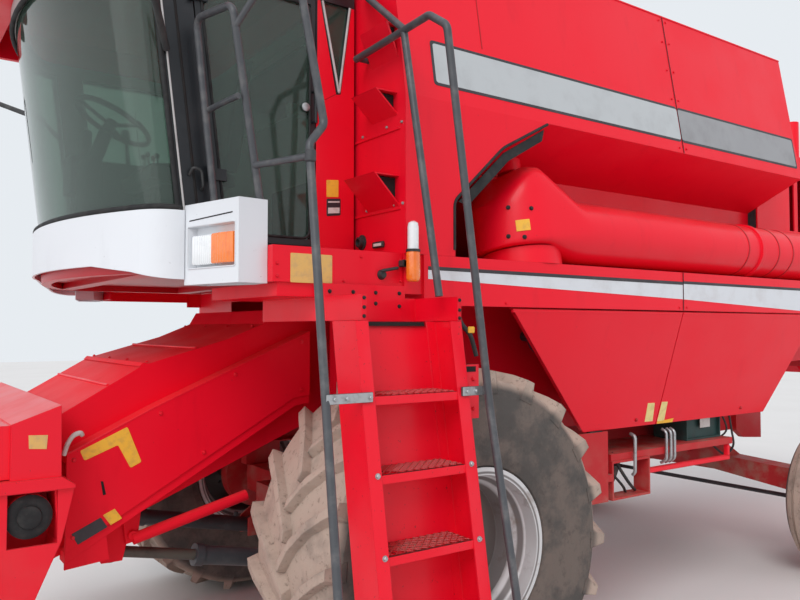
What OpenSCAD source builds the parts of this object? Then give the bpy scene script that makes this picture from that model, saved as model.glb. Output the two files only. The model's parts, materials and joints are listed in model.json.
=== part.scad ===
/* [Running gear] */
// Distance from the front axle to the rear axle
wheelbase = 3720; // [3500:10:3900]
// Outer diameter of the front tyres over their lugs
front_tyre_d = 1600; // [1500:10:1650]
// Width of the front tyres over their lugs
front_tyre_w = 700; // [680:5:710]
// Centre of each front tyre from the machine's middle
front_wheel_y = 1180; // [1175:5:1190]
// Outer diameter of the rear tyres
rear_tyre_d = 1060; // [1000:10:1100]
// Width of the rear tyres
rear_tyre_w = 370; // [340:10:380]
// Centre of each rear tyre from the machine's middle
rear_wheel_y = 1275; // [1260:5:1300]
// Lugs on each half of a front tread
front_lugs = 20; // [18:1:22]

/* [Body] */
// Half of the width over the side panels
panel_y = 1350; // [1330:5:1360]
// Half of the width of the inner separator body
core_y = 800; // [780:5:810]
// Height of the side panels' top edge
band_top = 2090; // [2080:5:2100]
// Height of the side bands' lower edge
band_low = 1868; // [1860:2:1880]
// Height of the tank side's lower corner
tank_low = 2790; // [2780:5:2800]
// Height of the tank's upper edge
tank_top = 3655; // [3600:5:3700]
// Rear wall of the grain tank, from the front axle
tank_rear = -3060; // [-3080:5:-3040]
// Front wall of the body, from the front axle
front_wall = 285; // [280:5:290]
// Thickness of the tank's walls
wall = 6; // [4:1:8]

/* [Cab] */
// Half of the cab's width
cab_y = 950; // [940:5:955]
// Height of the windscreen's lower edge
glass_low = 2250; // [2240:5:2260]
// Height of the cab's side walls
cab_top = 3360; // [3340:5:3400]
// Radius of the bowed windscreen
screen_r = 1835; // [1820:5:1850]
// Radius of the windscreen's rounded corners
corner_r = 150; // [140:5:160]
// Angle at which the windscreen leans forward
screen_lean = 7; // [6:0.5:8]

/* [Feeder house] */
// Half of the width of the feeder channel
feeder_y = 520; // [500:5:530]
// Height of the feeder house pivot
feeder_pivot_z = 1560; // [1550:5:1570]

/* [Unloading auger] */
// Diameter of the auger tube
auger_d = 330; // [310:5:340]
// Length of the tube from its pivot
auger_len = 4050; // [3950:10:4100]
// Tilt of the auger's pivot, which lifts the spout as it swings out
auger_tilt = 10; // [8:1:12]

/* [Hidden] */

// The front axle's distance ahead of the origin, which lies below the middle of the whole machine
front_axle_x = 2107;
front_axle_z = front_tyre_d / 2;
rear_axle_z = rear_tyre_d / 2;
front_rim_r = 367;
front_rim_w = 660;
rear_rim_r = 250;
rear_rim_w = 300;
lug_h = 42;
hub_face = 936;
kingpin_y = 985;
kingpin_clear = 4;
king_low = 495;
king_top = 700;
steer_arm = 190;
tie_rod_x = -wheelbase - steer_arm;
auger_pivot = [-600, 1140, 2150];
auger_z = 2270;
auger_y = 1220;
tube_r = auger_d / 2;
panel_in = 200;
panel_foot = 1195;
panel_t = 30;
panel_joint = -1695;
panel_front = -345;
panel_rear = -3240;
band_rear = -4480;
door_bottom = 2135;
door_hinge_x = 1000;
rail_d = 32;
body_red = [0.80, 0.03, 0.05];
dark_red = [0.52, 0.02, 0.04];
dark_grey = [0.10, 0.10, 0.11];
pale_grey = [0.80, 0.82, 0.84];
steel = [0.62, 0.63, 0.65];
rubber = [0.13, 0.12, 0.11];
glass_green = [0.45, 0.62, 0.56];

// Everything is drawn from the point on the ground below the front axle
module from_axle() translate([front_axle_x, 0, 0]) children();

// The same piece on both sides
module both_sides() {
    children();
    mirror([0, 1, 0]) children();
}

// A box from its lowest to its highest corner
module span(low, high) translate(low) cube(high - low);

// A plate with the given outline in X and Z, between two values of Y
module side_plate(outline, y0, y1) {
    translate([0, y1, 0]) rotate([90, 0, 0]) linear_extrude(y1 - y0) polygon(outline);
}

// A round bar or tube between two points
module bar(p, q, d) {
    v = q - p;
    translate(p) rotate([0, acos(v[2] / norm(v)), atan2(v[1], v[0])]) cylinder(h = norm(v), d = d, $fn = 32);
}

// The direction of a vector
function unit(v) = v / norm(v);
// The angle by which a line of points turns at one of them
function turn(points, i) = acos(unit(points[i] - points[i - 1]) * unit(points[i + 1] - points[i]));
// How much of a straight run a bend of radius r takes up
function taken(points, i, r) = i == 0 || i == len(points) - 1 ? 0 : r * tan(turn(points, i) / 2);

// A tube through a list of points, bent to one radius at each of them; the bends are a hair thicker
module bent_tube(points, d, r) {
    lap = 3;
    last = len(points) - 2;
    for (i = [0 : last]) {
        u = unit(points[i + 1] - points[i]);
        bar(points[i] + u * (i == 0 ? 0 : taken(points, i, r) - lap),
            points[i + 1] - u * (i == last ? 0 : taken(points, i + 1, r) - lap), d);
    }
    for (i = [1 : last]) {
        u = unit(points[i] - points[i - 1]);
        z = unit(cross(u, points[i + 1] - points[i]));
        y = cross(z, u);
        c = points[i] - u * taken(points, i, r) + y * r;
        multmatrix([[u[0], y[0], z[0], c[0]], [u[1], y[1], z[1], c[1]], [u[2], y[2], z[2], c[2]], [0, 0, 0, 1]])
            rotate([0, 0, -90]) rotate_extrude(angle = turn(points, i), $fn = 64) translate([r, 0])
                circle(d = d + 0.6, $fn = 32);
    }
}

// A round disc or drum whose axis runs across the machine
module across(x, y, z, h, r) translate([x, y, z]) rotate([-90, 0, 0])
    cylinder(h = h, r = r, $fn = r > 400 ? 240 : 64);

module main_frame() color(dark_red) from_axle() {
    rail_y = 660;
    rail_end = -3480;
    both_sides() {
        difference() {
            span([rail_end, rail_y, 1010], [120, rail_y + 90, 1170]);
            span([rail_end - 10, rail_y - 10, 1020], [110, rail_y + 80, 1160]);
        }
        span([-120, rail_y, 879], [120, rail_y + 80, 1012]);
        side_plate([[-1130, 1014], [-700, 1014], [-760, 790], [-1070, 790]], rail_y + 92, rail_y + 110);
        side_plate([[-3150, 1168], [rail_end - 5, 1168], [rail_end - 5, 930], [-3240, 950], [-3150, 1010]],
            rail_y + 89, rail_y + 130);
        // Inner rails that carry the rear axle
        span([-wheelbase - 260, 150, 1010], [rail_end + 200, 240, 1090]);
    }
    for (x = [-900, -2000, -2550, rail_end]) span([x, -rail_y - 81, 1040], [x + 90, rail_y + 81, 1110]);
    // Outriggers with the plate behind the front wheel and the open tray for the battery
    both_sides() {
        span([-1075, rail_y + 92, 900], [-1000, 1158, 940]);
        span([-1075, rail_y + 92, 1100], [-1000, 1158, 1140]);
        span([-1250, 1150, 795], [-1000, 1162, 1188]);
        difference() {
            span([-1640, 1040, 790], [-1300, 1150, 1010]);
            span([-1628, 1030, 802], [-1312, 1160, 998]);
        }
        span([-1300, 1100, 900], [-1240, 1152, 940]);
        span([-2520, rail_y + 88, 1008], [-1302, 1140, 1050]);
    }
    // Drawbar with its clevis for a trailer
    span([-4260, -60, 880], [-wheelbase - 100, 60, 960]);
    along_x(-wheelbase - 250, -wheelbase - 100) polygon([[-60, 880], [60, 880], [120, 1022], [-120, 1022]]);
    difference() {
        union() for (z = [865, 955]) {
            translate([-4330, 0, z]) cylinder(h = 20, r = 60, $fn = 64);
            span([-4330, -60, z], [-4200, 60, z + 20]);
        }
        translate([-4330, 0, 850]) cylinder(h = 200, r = 16.5, $fn = 64);
    }
    // Hangers that carry the axle beam's pin
    for (x = [-wheelbase - 145, -wheelbase + 100]) difference() {
        along_x(x, x + 45) polygon([[-220, 1022], [-90, 720], [90, 720], [220, 1022]]);
        translate([x - 10, 0, 780]) rotate([0, 90, 0]) cylinder(h = 70, r = 45.1, $fn = 64);
    }
    for (x = [-wheelbase - 250, -wheelbase - 110]) span([x, -240, 1021], [x + 220, 240, 1090]);
}

module front_axle() color(dark_red) from_axle() {
    beam_low = front_axle_z - 85;
    span([-95, -700, beam_low], [95, 700, front_axle_z + 78]);
    span([-60, -200, front_axle_z - 180], [260, 200, front_axle_z + 60]);
    both_sides() {
        across(0, 690, front_axle_z, 65, 76);
        across(0, 754, front_axle_z, 94, 215);
        across(0, 840, front_axle_z, hub_face - 845, 120);
        // Cheeks that hold the foot of the lift cylinder
        for (y = [385, 501]) side_plate([[-40, beam_low + 1], [60, beam_low + 1], [225, lift_base[1] + 55],
            [225, lift_base[1] - 50], [110, lift_base[1] - 50]], y, y + 14);
        across(lift_base[0], 384, lift_base[1], 132, 22);
    }
}

module rear_axle_beam() color(dark_red) from_axle() {
    x = -wheelbase;
    across_pin_z = 780;
    beam_end = kingpin_y - 60;
    difference() {
        union() {
            along_x(x - 90, x + 90) polygon([[-beam_end, 530], [-300, 600], [300, 600], [beam_end, 530], [beam_end, 694],
                [420, 722], [260, 825], [-260, 825], [-420, 722], [-beam_end, 694]]);
            both_sides() translate([x, kingpin_y, king_low]) cylinder(h = king_top - king_low, r = 75, $fn = 48);
        }
        both_sides() translate([x, kingpin_y, 400]) cylinder(h = 400, r = 26, $fn = 48);
    }
    translate([x - 150, 0, across_pin_z]) rotate([0, 90, 0]) cylinder(h = 300, r = 45, $fn = 48);
}

// One steering knuckle: a fork round the axle beam's end, its pin, the stub axle and the steering arm
module knuckle() {
    x = -wheelbase;
    low = king_low - kingpin_clear - 40;
    top = king_top + kingpin_clear;
    translate([x, kingpin_y, 0]) {
        for (z = [low, top]) translate([0, 0, z]) cylinder(h = 40, r = 72, $fn = 48);
        translate([0, 0, low + 4]) cylinder(h = top - low, r = 25, $fn = 48);
        span([-72, 78, low], [72, 118, top + 40]);
        for (z = [low, top]) span([-60, 20, z], [60, 90, z + 40]);
        translate([0, 100, rear_axle_z]) rotate([-90, 0, 0]) cylinder(h = 160, r = 48, $fn = 48);
        difference() {
            translate([0, 0, low]) linear_extrude(30) union() {
                polygon([[-30, -40], [-steer_arm, -28], [-steer_arm, 28], [-30, 40]]);
                translate([-steer_arm, 0]) circle(r = 34, $fn = 48);
            }
            translate([-steer_arm, 0, low - 26]) cylinder(h = 80, r = 13, $fn = 48);
        }
    }
}

module knuckle_left() color(dark_red) from_axle() knuckle();
module knuckle_right() color(dark_red) from_axle() mirror([0, 1, 0]) knuckle();

module tie_rod() color(dark_grey) from_axle() {
    rod_z = king_low - 70;
    eye_y = kingpin_y;
    across(tie_rod_x, -eye_y + 25, rod_z, 2 * eye_y - 50, 17);
    both_sides() {
        translate([tie_rod_x, eye_y, rod_z - 26]) cylinder(h = 48, r = 32, $fn = 48);
        translate([tie_rod_x, eye_y, rod_z]) cylinder(h = 62, r = 12.5, $fn = 48);
    }
}

// The separator's sheet metal body: open to the feeder, above the cleaning shoe and at the rear
module separator_body() color(body_red) from_axle() {
    front = front_wall - 40;
    difference() {
        side_plate([[front, 1230], [front, 2060], [-5560, 2060], [-5560, 1560], [-3900, 1500], [-3480, 1172],
            [-220, 1172]], -core_y, core_y);
        side_plate([[front - wall, 1230 + wall], [front - wall, 2060 - wall], [-5600, 2060 - wall],
            [-5600, 1561 + wall], [-3900, 1500 + wall], [-3900, 1100], [-2650, 1100],
            [-2650, 1172 + wall], [-220, 1172 + wall]], -core_y + wall, core_y - wall);
        span([-80, -feeder_y - 110, 1150], [front + 10, feeder_y + 110, 1935]);
    }
}

// Deck over the belts with its outer band, and the filler ahead of it
module side_bands() color(body_red) from_axle() both_sides() {
    difference() {
        span([band_rear, core_y + 0.5, band_low], [187, panel_y, band_top]);
        span([band_rear + wall, core_y - 10, band_low - 10], [187 - wall, panel_y - wall, band_top - wall]);
    }
    span([180, core_y + 0.5, band_top - wall], [front_wall, panel_y - 12, band_top]);
    span([180, panel_y - 22, 1915], [front_wall, panel_y - 12, band_top]);
}

// A belt round two pulleys, as its outline in X and Z
module belt_loop(a, b, t) {
    v = b - a;
    n = [-v[1], v[0]] / norm([v[0], v[1]]);
    translate([a[0], a[1]]) circle(r = a[2] + t, $fn = 48);
    translate([b[0], b[1]]) circle(r = b[2] + t, $fn = 48);
    polygon([[a[0], a[1]] + n * (a[2] + t), [b[0], b[1]] + n * (b[2] + t),
        [b[0], b[1]] - n * (b[2] + t), [a[0], a[1]] - n * (a[2] + t)]);
}

// Pulleys as x, z, radius and y, each on a short shaft out of the separator's side
pulleys = [[-1350, 1520, 170, 850], [-2250, 1740, 110, 850], [-2750, 1430, 170, 930], [-3250, 1720, 100, 930],
    [-950, 1720, 100, 930]];
belts = [[0, 1], [2, 3]];

module drive_pulleys() color(dark_grey) from_axle() both_sides() {
    for (p = pulleys) {
        across(p[0], core_y + 2, p[1], p[3] - core_y + 40, 28);
        difference() {
            across(p[0], p[3], p[1], 60, p[2]);
            across(p[0], p[3] + 15, p[1], 60, p[2] - 20);
        }
    }
    for (b = belts) {
        p = pulleys[b[0]];
        q = pulleys[b[1]];
        translate([0, p[3] + 15, 0]) mirror([0, 1, 0]) rotate([90, 0, 0]) linear_extrude(30)
            belt_loop([p[0], p[1], p[2]], [q[0], q[1], q[2]], 10);
    }
}

// Hinged lower side panel: a sloped sheet with folded edges, between the band and its foot
module side_panel(x_top_front, x_low_front, x_low_rear, x_top_rear) {
    top_z = band_low - 10;
    lean = atan2(panel_in, top_z - panel_foot);
    long = norm([panel_in, top_z - panel_foot]);
    translate([0, panel_y, top_z]) rotate([-lean, 0, 0]) {
        rotate([90, 0, 0]) linear_extrude(3)
            polygon([[x_top_front, 0], [x_low_front, -long], [x_low_rear, -long], [x_top_rear, 0]]);
        difference() {
            rotate([90, 0, 0]) linear_extrude(panel_t)
                polygon([[x_top_front, 0], [x_low_front, -long], [x_low_rear, -long], [x_top_rear, 0]]);
            translate([0, -2, 0]) rotate([90, 0, 0]) linear_extrude(panel_t + 10)
                polygon([[x_top_front - 8, -8], [x_low_front - 8, -long + 8], [x_low_rear + 8, -long + 8],
                    [x_top_rear + 8, -8]]);
        }
    }
    // Hinge bar along the top edge
    translate([x_top_rear + 4, panel_y - 10, top_z - 8]) rotate([0, 90, 0])
        cylinder(h = x_top_front - x_top_rear - 8, r = 8, $fn = 32);
}

module side_panel_left_front() color(body_red) from_axle()
    side_panel(panel_front, -1058, panel_joint + 4, panel_joint + 4);
module side_panel_left_rear() color(body_red) from_axle()
    side_panel(panel_joint - 4, panel_joint - 4, -2880, panel_rear);
module side_panel_right_front() color(body_red) from_axle() mirror([0, 1, 0])
    side_panel(panel_front, -1058, panel_joint + 4, panel_joint + 4);
module side_panel_right_rear() color(body_red) from_axle() mirror([0, 1, 0])
    side_panel(panel_joint - 4, panel_joint - 4, -2880, panel_rear);

// Half of the tank's outer section, from the foot of its inner wall to its upper edge
recess_y = 960;
tank_top_y = 1205;
ledge_z = 2600;
tank_section = [[recess_y, band_top], [recess_y, ledge_z], [panel_y, tank_low], [tank_top_y, tank_top]];
// The fore part stands out to the side panels all the way down
fore_x = -585;
fore_section = [[panel_y, band_top], [panel_y, tank_low], [tank_top_y, tank_top]];

// A section given for one side, closed across the middle
function mirrored(half) = concat(half, [for (i = [len(half) - 1 : -1 : 0]) [-half[i][0], half[i][1]]]);

// An outline in Y and Z drawn out along X
module along_x(x0, x1) translate([x0, 0, 0]) rotate([90, 0, 90]) linear_extrude(x1 - x0) children();

// Underside of the fore part's overhang
function ceiling_z(y) = ledge_z - 1.3 * wall + (y - recess_y) * (tank_low - ledge_z) / (panel_y - wall - recess_y);

module grain_tank() color(body_red) from_axle() {
    low = band_top - 10;
    sheet = 1.3 * wall;
    x = auger_pivot[0];
    difference() {
        union() {
            along_x(tank_rear, front_wall) polygon(mirrored(tank_section));
            along_x(fore_x, front_wall) polygon(mirrored(fore_section));
        }
        // The space that holds the grain, whose floor falls to a trough along the middle
        along_x(tank_rear + wall, front_wall - wall) polygon(mirrored([[120, 2200], [recess_y - wall, ledge_z + 6],
            [panel_y - wall, tank_low + 2], [tank_top_y - wall, tank_top + 1], [tank_top_y - wall, tank_top + 50]]));
        // The space below its floor, open towards the separator
        along_x(tank_rear + wall, front_wall - wall) polygon(mirrored([[recess_y - wall, low],
            [recess_y - wall, ledge_z - sheet], [120, 2200 - sheet]]));
        both_sides() along_x(fore_x + wall, front_wall - wall) polygon([[recess_y, low], [panel_y - wall, low],
            [panel_y - wall, tank_low - sheet], [recess_y, ledge_z - sheet]]);
        // Slanting mouth in the left side through which the auger's elbow shows
        side_plate([[10, low], [10, 2343], [-290, 2625], [-600, 2789], [-600, low]], panel_y - 10, panel_y + 10);
        along_x(fore_x - 5, fore_x + wall + 1) polygon([[recess_y + 4, low], [panel_y + 10, low],
            [panel_y + 10, ceiling_z(panel_y + 10) - 2], [recess_y + 4, ceiling_z(recess_y + 4) - 2]]);
        // Way through the inner wall for the elbow's housing
        span([x - 285, recess_y - 40, low], [x + 285, recess_y + 10, ledge_z - 10]);
    }
    both_sides() for (s = louvres) louvre_scoop(s);
    for (z = [2285, 2640]) span([front_wall - 0.5, -panel_y + 40, z], [front_wall + 6, panel_y - 40, z + 12]);
}

// Scoops on the front wall: foot, height, reach ahead of the wall, inner end, outer end
louvres = [[2302, 136, 132, 1050, 1298], [2706, 104, 116, 1085, 1285], [2960, 152, 68, 1080, 1292]];

// A pressed scoop that opens towards the outside
module louvre_scoop(s) {
    translate([front_wall - 1, 0, s[0]]) difference() {
        side_plate([[0, 0], [s[2], s[1]], [0, s[1]]], s[3], s[4]);
        side_plate([[-5, 7], [s[2] - 14, s[1] - 6], [-5, s[1] - 6]], s[3] + 6, s[4] + 10);
    }
}

module tank_filler() color(body_red) from_axle() {
    bar([-1500, -500, 2560], [-1500, -120, 3760], 240);
    translate([-1500, -120, 3760]) rotate([0, 16, 90]) cylinder(h = 60, d = 300, $fn = 64);
    for (x = [-800, -2300]) span([x, -1205, 3560], [x + 60, 1205, 3610]);
    side_plate([[-400, 2500], [-2900, 2500], [-2900, 2700], [-400, 2700]], -20, 20);
}

// Fixed seat of the unloading auger's elbow on the deck, and the neck above the elbow's cap
module auger_turret() color(body_red) from_axle() {
    difference() {
        intersection() {
            translate(auger_pivot) rotate([auger_tilt, 0, 0]) translate([0, 0, -120])
                cylinder(h = 117, r = 205, $fn = 64);
            span(auger_pivot - [300, 300, auger_pivot[2] - band_top - 0.3], auger_pivot + [300, 300, 200]);
        }
        translate(auger_pivot) rotate([auger_tilt, 0, 0]) translate([0, 0, -130]) cylinder(h = 160, r = 180, $fn = 64);
    }
    difference() {
        translate(auger_pivot) rotate([auger_tilt, 0, 0]) translate([0, 0, cap_top + 6]) cylinder(h = 160, r = 62, $fn = 48);
        along_x(auger_pivot[0] - 100, auger_pivot[0] + 100) polygon([[900, ceiling_z(900) - 2.3],
            [1250, ceiling_z(1250) - 2.3], [1250, 3000], [900, 3000]]);
    }
}

// Swinging part: the elbow's housing on its tilted pivot, the long tube and the spout at its end
housing_r = 250;
housing_h = 285;
cap_r = 55;
cap_top = 437;

module auger_housing(t) {
    foot = t > 0 ? -7 : 3;
    translate([0, 0, foot]) cylinder(h = housing_h - foot, r = housing_r - t, $fn = 96);
    translate([0, 0, housing_h - 0.01]) cylinder(h = cap_top - housing_h, r1 = housing_r - t, r2 = cap_r - t, $fn = 96);
}

// Everything that lies below the housing's foot, within a radius of the pivot's axis
module below_housing(r) translate(auger_pivot) rotate([auger_tilt, 0, 0]) translate([0, 0, -150])
    cylinder(h = 153, r = r, $fn = 96);

module auger_tube() color(body_red) from_axle() {
    x = auger_pivot[0];
    r = tube_r;
    t = 5;
    spout_x = x - auger_len + 60;
    difference() {
        union() {
            translate(auger_pivot) rotate([auger_tilt, 0, 0]) auger_housing(0);
            difference() {
                translate([x, auger_y, auger_z]) rotate([0, -90, 0]) cylinder(h = auger_len, r = r, $fn = 64);
                below_housing(housing_r);
            }
            translate([x, auger_y, auger_z]) rotate([0, -90, 0])
                for (z = [1880, 3700]) translate([0, 0, z]) cylinder(h = 40, r = r + 12, $fn = 64);
            translate([spout_x, auger_y, auger_z]) rotate([0, -140, 0]) cylinder(h = 330, r = r - 1, $fn = 64);
        }
        translate(auger_pivot) rotate([auger_tilt, 0, 0]) auger_housing(6);
        difference() {
            translate([x, auger_y, auger_z]) rotate([0, -90, 0]) cylinder(h = auger_len - t, r = r - t, $fn = 64);
            below_housing(housing_r + 6);
        }
        translate([spout_x, auger_y, auger_z]) rotate([0, -140, 0]) cylinder(h = 400, r = r - 1 - t, $fn = 64);
    }
}

// Middle of the big circle of the windscreen, and where its rounded corners begin
screen_x = -350;
corner_y = cab_y - corner_r;
corner_x = screen_x + sqrt(pow(screen_r - corner_r, 2) - pow(corner_y, 2));
corner_a = asin(corner_y / (screen_r - corner_r));

// The cab's outline seen from above, smaller by t all round
module cab_plan(t) {
    intersection() {
        translate([screen_x, 0]) circle(r = screen_r - t, $fn = 240);
        polygon([[screen_x, 0], [screen_x + 2200 * cos(corner_a), -2200 * sin(corner_a)], [2200, 0],
            [screen_x + 2200 * cos(corner_a), 2200 * sin(corner_a)]]);
    }
    translate([-300, -cab_y + t]) square([corner_x + 300, 2 * (cab_y - t)]);
    for (side = [-1, 1]) translate([corner_x, side * corner_y]) circle(r = corner_r - t, $fn = 64);
}

// The cab's outer form, smaller by t on every side
module cab_form(t, z0, z1) {
    intersection() {
        translate([0, 0, glass_low]) rotate([0, screen_lean, 0]) translate([-10, 0, -500]) linear_extrude(1900)
            cab_plan(t);
        span([cab_rear + t, -cab_y - 10, z0], [1900, cab_y + 10, z1]);
    }
}

cab_rear = 300;
cab_low = 1995;
lean = tan(screen_lean);
door_x0 = 505;
door_x1 = 1010;
// Front edge of the windscreen pillars at the height of the windscreen's foot
pillar_x = 1133;

module cab_frame() color(dark_grey) from_axle() {
    opening_top = cab_top - 70;
    difference() {
        cab_form(0, cab_low, cab_top);
        cab_form(45, cab_low - 10, cab_top + 20);
        // Windscreen, which wraps round to the pillars
        side_plate([[pillar_x, glass_low + 5], [1900, glass_low + 5], [1900, opening_top],
            [pillar_x + (opening_top - glass_low) * lean, opening_top]], -cab_y - 10, cab_y + 10);
        // Door opening and the side window across from it
        side_plate([[door_x0, door_bottom], [door_x1 - 42, door_bottom], [door_x1 + 103, opening_top],
            [door_x0, opening_top]], -cab_y - 10, cab_y + 10);
        // Tapering quarter windows behind the doors
        side_plate([[384, 2875], [468, opening_top], [330, opening_top]], -cab_y - 10, cab_y + 10);
        // Rear window
        span([cab_rear - 10, -600, 2900], [cab_rear + 60, 600, 3250]);
    }
    cab_form(44, 2030, 2042);
    for (x = [420, 1150]) span([x, -cab_y + 44, cab_low], [x + 80, cab_y - 44, 2031]);
}

module cab_roof() color(body_red) from_axle() {
    difference() {
        intersection() {
            span([340, -1010, cab_top + 1], [1760, 1010, cab_top + 240]);
            translate([1050, 0, -2900]) rotate([90, 0, 0]) cylinder(h = 2100, r = 6480, $fn = 720, center = true);
            union() {
                span([340, -930, 3000], [1680, 930, 3700]);
                span([420, -1010, 3000], [1600, 1010, 3700]);
                for (p = [[420, 930], [420, -930], [1600, 930], [1600, -930]]) translate([p[0], p[1], 3000])
                    cylinder(h = 700, r = 80, $fn = 48);
            }
        }
        span([370, -975, cab_top - 10], [1590, 975, cab_top + 170]);
    }
}

module cab_glass() color(glass_green) from_axle() {
    opening_top = cab_top - 71;
    difference() {
        cab_form(14, glass_low + 6, opening_top);
        cab_form(20, glass_low - 10, cab_top);
        side_plate([[0, 2000], [pillar_x - 250 * lean + 1, 2000], [pillar_x + 1250 * lean + 1, 3500], [0, 3500]],
            -1000, 1000);
    }
    side_plate([[door_x0 + 1, door_bottom + 1], [door_x1 - 44, door_bottom + 1], [door_x1 + 100, opening_top],
        [door_x0 + 1, opening_top]], -cab_y + 14, -cab_y + 20);
    both_sides() side_plate([[384, 2879], [465.5, opening_top], [332.5, opening_top]], cab_y - 20, cab_y - 14);
    span([cab_rear + 14, -599, 2901], [cab_rear + 20, 599, 3249]);
}

// Door: a thin frame round one big pane, hinged on the front pillar
door_outline = [[door_x0 + 5, door_bottom + 5], [door_x1 - 47, door_bottom + 5],
    [door_x1 + 96, cab_top - 76], [door_x0 + 5, cab_top - 76]];
door_opening = [[door_x0 + 30, door_bottom + 35], [door_x1 - 68, door_bottom + 35],
    [door_x1 + 66, cab_top - 104], [door_x0 + 30, cab_top - 104]];

module cab_door() color(dark_grey) from_axle() {
    difference() {
        side_plate(door_outline, cab_y - 28, cab_y);
        side_plate(door_opening, cab_y - 40, cab_y + 10);
    }
    for (z = [2380, 3130]) bar([door_hinge_x + (z - glass_low) * 0.123 - 5, cab_y + 14, z],
        [door_hinge_x + (z + 70 - glass_low) * 0.123 - 5, cab_y + 14, z + 70], 24);
    for (z = [2380, 3130], p = [[-55, -5], [-18, 3]]) {
        shift = (z - glass_low) * 0.123;
        span([door_x1 - 85 + shift, cab_y + p[1], z + 10], [door_x1 + p[0] + 10 + shift, cab_y + 12, z + 60]);
    }
    // Latch inside and pull outside
    span([door_x0 + 12, cab_y - 70, 2740], [door_x0 + 120, cab_y - 20, 2790]);
    bar([door_x0 + 18, cab_y + 30, 2700], [door_x0 + 18, cab_y + 30, 2860], 16);
    for (z = [2710, 2850]) bar([door_x0 + 18, cab_y - 10, z], [door_x0 + 18, cab_y + 30, z], 14);
}

module door_pane() color(glass_green) from_axle()
    side_plate(door_opening, cab_y - 16, cab_y - 10);

// White skirt under the windscreen
skirt_gap = 4;
skirt_t = 12;
skirt_end = 1122;

// Lamp box beside the skirt's end, seen from above; its front looks slightly outwards
box_low = 1942;
box_top = 2270;
box_inner = 958;
box_outer = 1300;
function box_front(y) = 1120 - (y - box_inner) * 0.262;
// The box's outline smaller by t all round; its inner rear corner gives way to the door
function box_plan(t) = [[box_front(box_inner + t) - t, box_inner + t], [box_front(box_outer - t) - t, box_outer - t],
    [905 + t, 1286 - t], [905 + t, 1166 + 1.3 * t], [1012 + t, 976 + 0.7 * t], [1012 + t, box_inner + t]];
// A strip of the box that follows its front, between two depths behind it
module box_strip(y0, y1, d0, d1, z0, z1) translate([0, 0, z0]) linear_extrude(z1 - z0)
    polygon([[box_front(y0) - d0, y0], [box_front(y1) - d0, y1], [box_front(y1) - d1, y1], [box_front(y0) - d1, y0]]);

module front_fairing() color(pale_grey) from_axle() {
    difference() {
        linear_extrude(glass_low) cab_plan(-skirt_gap - skirt_t);
        translate([0, 0, -1]) linear_extrude(glass_low + 2) cab_plan(-skirt_gap);
        span([-400, -1100, -10], [skirt_end, 1100, 2400]);
        // The lower edge rises from the ends to the middle
        along_x(0, 1900) polygon([[-1100, -10], [1100, -10], [1100, 1960], [965, 1966], [830, 1998], [600, 2030],
            [-600, 2030], [-830, 1998], [-965, 1966], [-1100, 1960]]);
    }
    // Feet that carry the skirt on the cab's front
    for (y = [-500, 500]) span([1401, y - 20, 2060], [1419, y + 20, 2080]);
    both_sides() difference() {
        union() {
            difference() {
                translate([0, 0, box_low]) linear_extrude(box_top - box_low) polygon(box_plan(0));
                translate([0, 0, box_low - 10]) linear_extrude(box_top - box_low) polygon(box_plan(8));
            }
            box_strip(975, 1286, 7, 44, 2000, 2186);
        }
        box_strip(983, 1278, -5, 38, 2010, 2176);
    }
}

module lamps() color([0.9, 0.9, 0.86]) from_axle() {
    lens_z = [2022, 2140];
    both_sides() {
        box_strip(1004, 1128, 8, 37.8, lens_z[0], lens_z[1]);
        box_strip(1138, 1270, -12, 37.8, lens_z[0], lens_z[1]);
        // Marker lamp at the corner of the body: an amber lens below a clear one
        translate([272, 1385, 1966]) cylinder(h = 135, r = 31, $fn = 48);
        translate([272, 1385, 2100]) cylinder(h = 126, r = 25, $fn = 48);
        span([290, 1330.4, 2030], [312, 1375, 2060]);
        span([262, 1353, 2030], [312, 1375, 2060]);
        for (y = [420, 720]) translate([1680.4, y, cab_top + 60]) rotate([0, 90, 0]) cylinder(h = 100, r = 62, $fn = 48);
    }
    translate([1050, -700, cab_top + 220.5]) cylinder(h = 150, r = 60, $fn = 48);
}

module operator_seat() color(dark_grey) from_axle() {
    span([600, -250, 2500], [1050, 250, 2620]);
    translate([600, 0, 2590]) rotate([0, -8, 0]) span([-60, -240, 0], [50, 240, 620]);
    span([670, -200, 2290], [1000, 200, 2505]);
    span([620, -240, 2042], [1040, 240, 2295]);
}

// Foot of the steering wheel's shaft, and its tilt
wheel_at = [1190, 0, 2770];
steer_tilt = -28;

module cab_console() color([0.22, 0.23, 0.25]) from_axle() {
    span([640, -560, 2042], [1150, -320, 2680]);
    span([1150, -520, 2500], [1290, -340, 2700]);
    bar([1300, 0, 2048], [1262, 0, 2600], 120);
    bar([1268, 0, 2560], wheel_at + 10 * [sin(-steer_tilt), 0, -cos(steer_tilt)], 70);
    span([1220, -180, 2042], [1340, 180, 2110]);
    span([cab_rear + 50, 480, 2042], [500, 880, 2450]);
}

module steering_wheel() color(dark_grey) from_axle() translate(wheel_at) rotate([0, steer_tilt, 0]) {
    rotate_extrude($fn = 96) translate([190, 60]) circle(r = 14, $fn = 32);
    cylinder(h = 62, r = 30, $fn = 48);
    for (a = [0, 120, 240]) rotate([0, 0, a]) bar([20, 0, 40], [184, 0, 60], 20);
}

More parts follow.
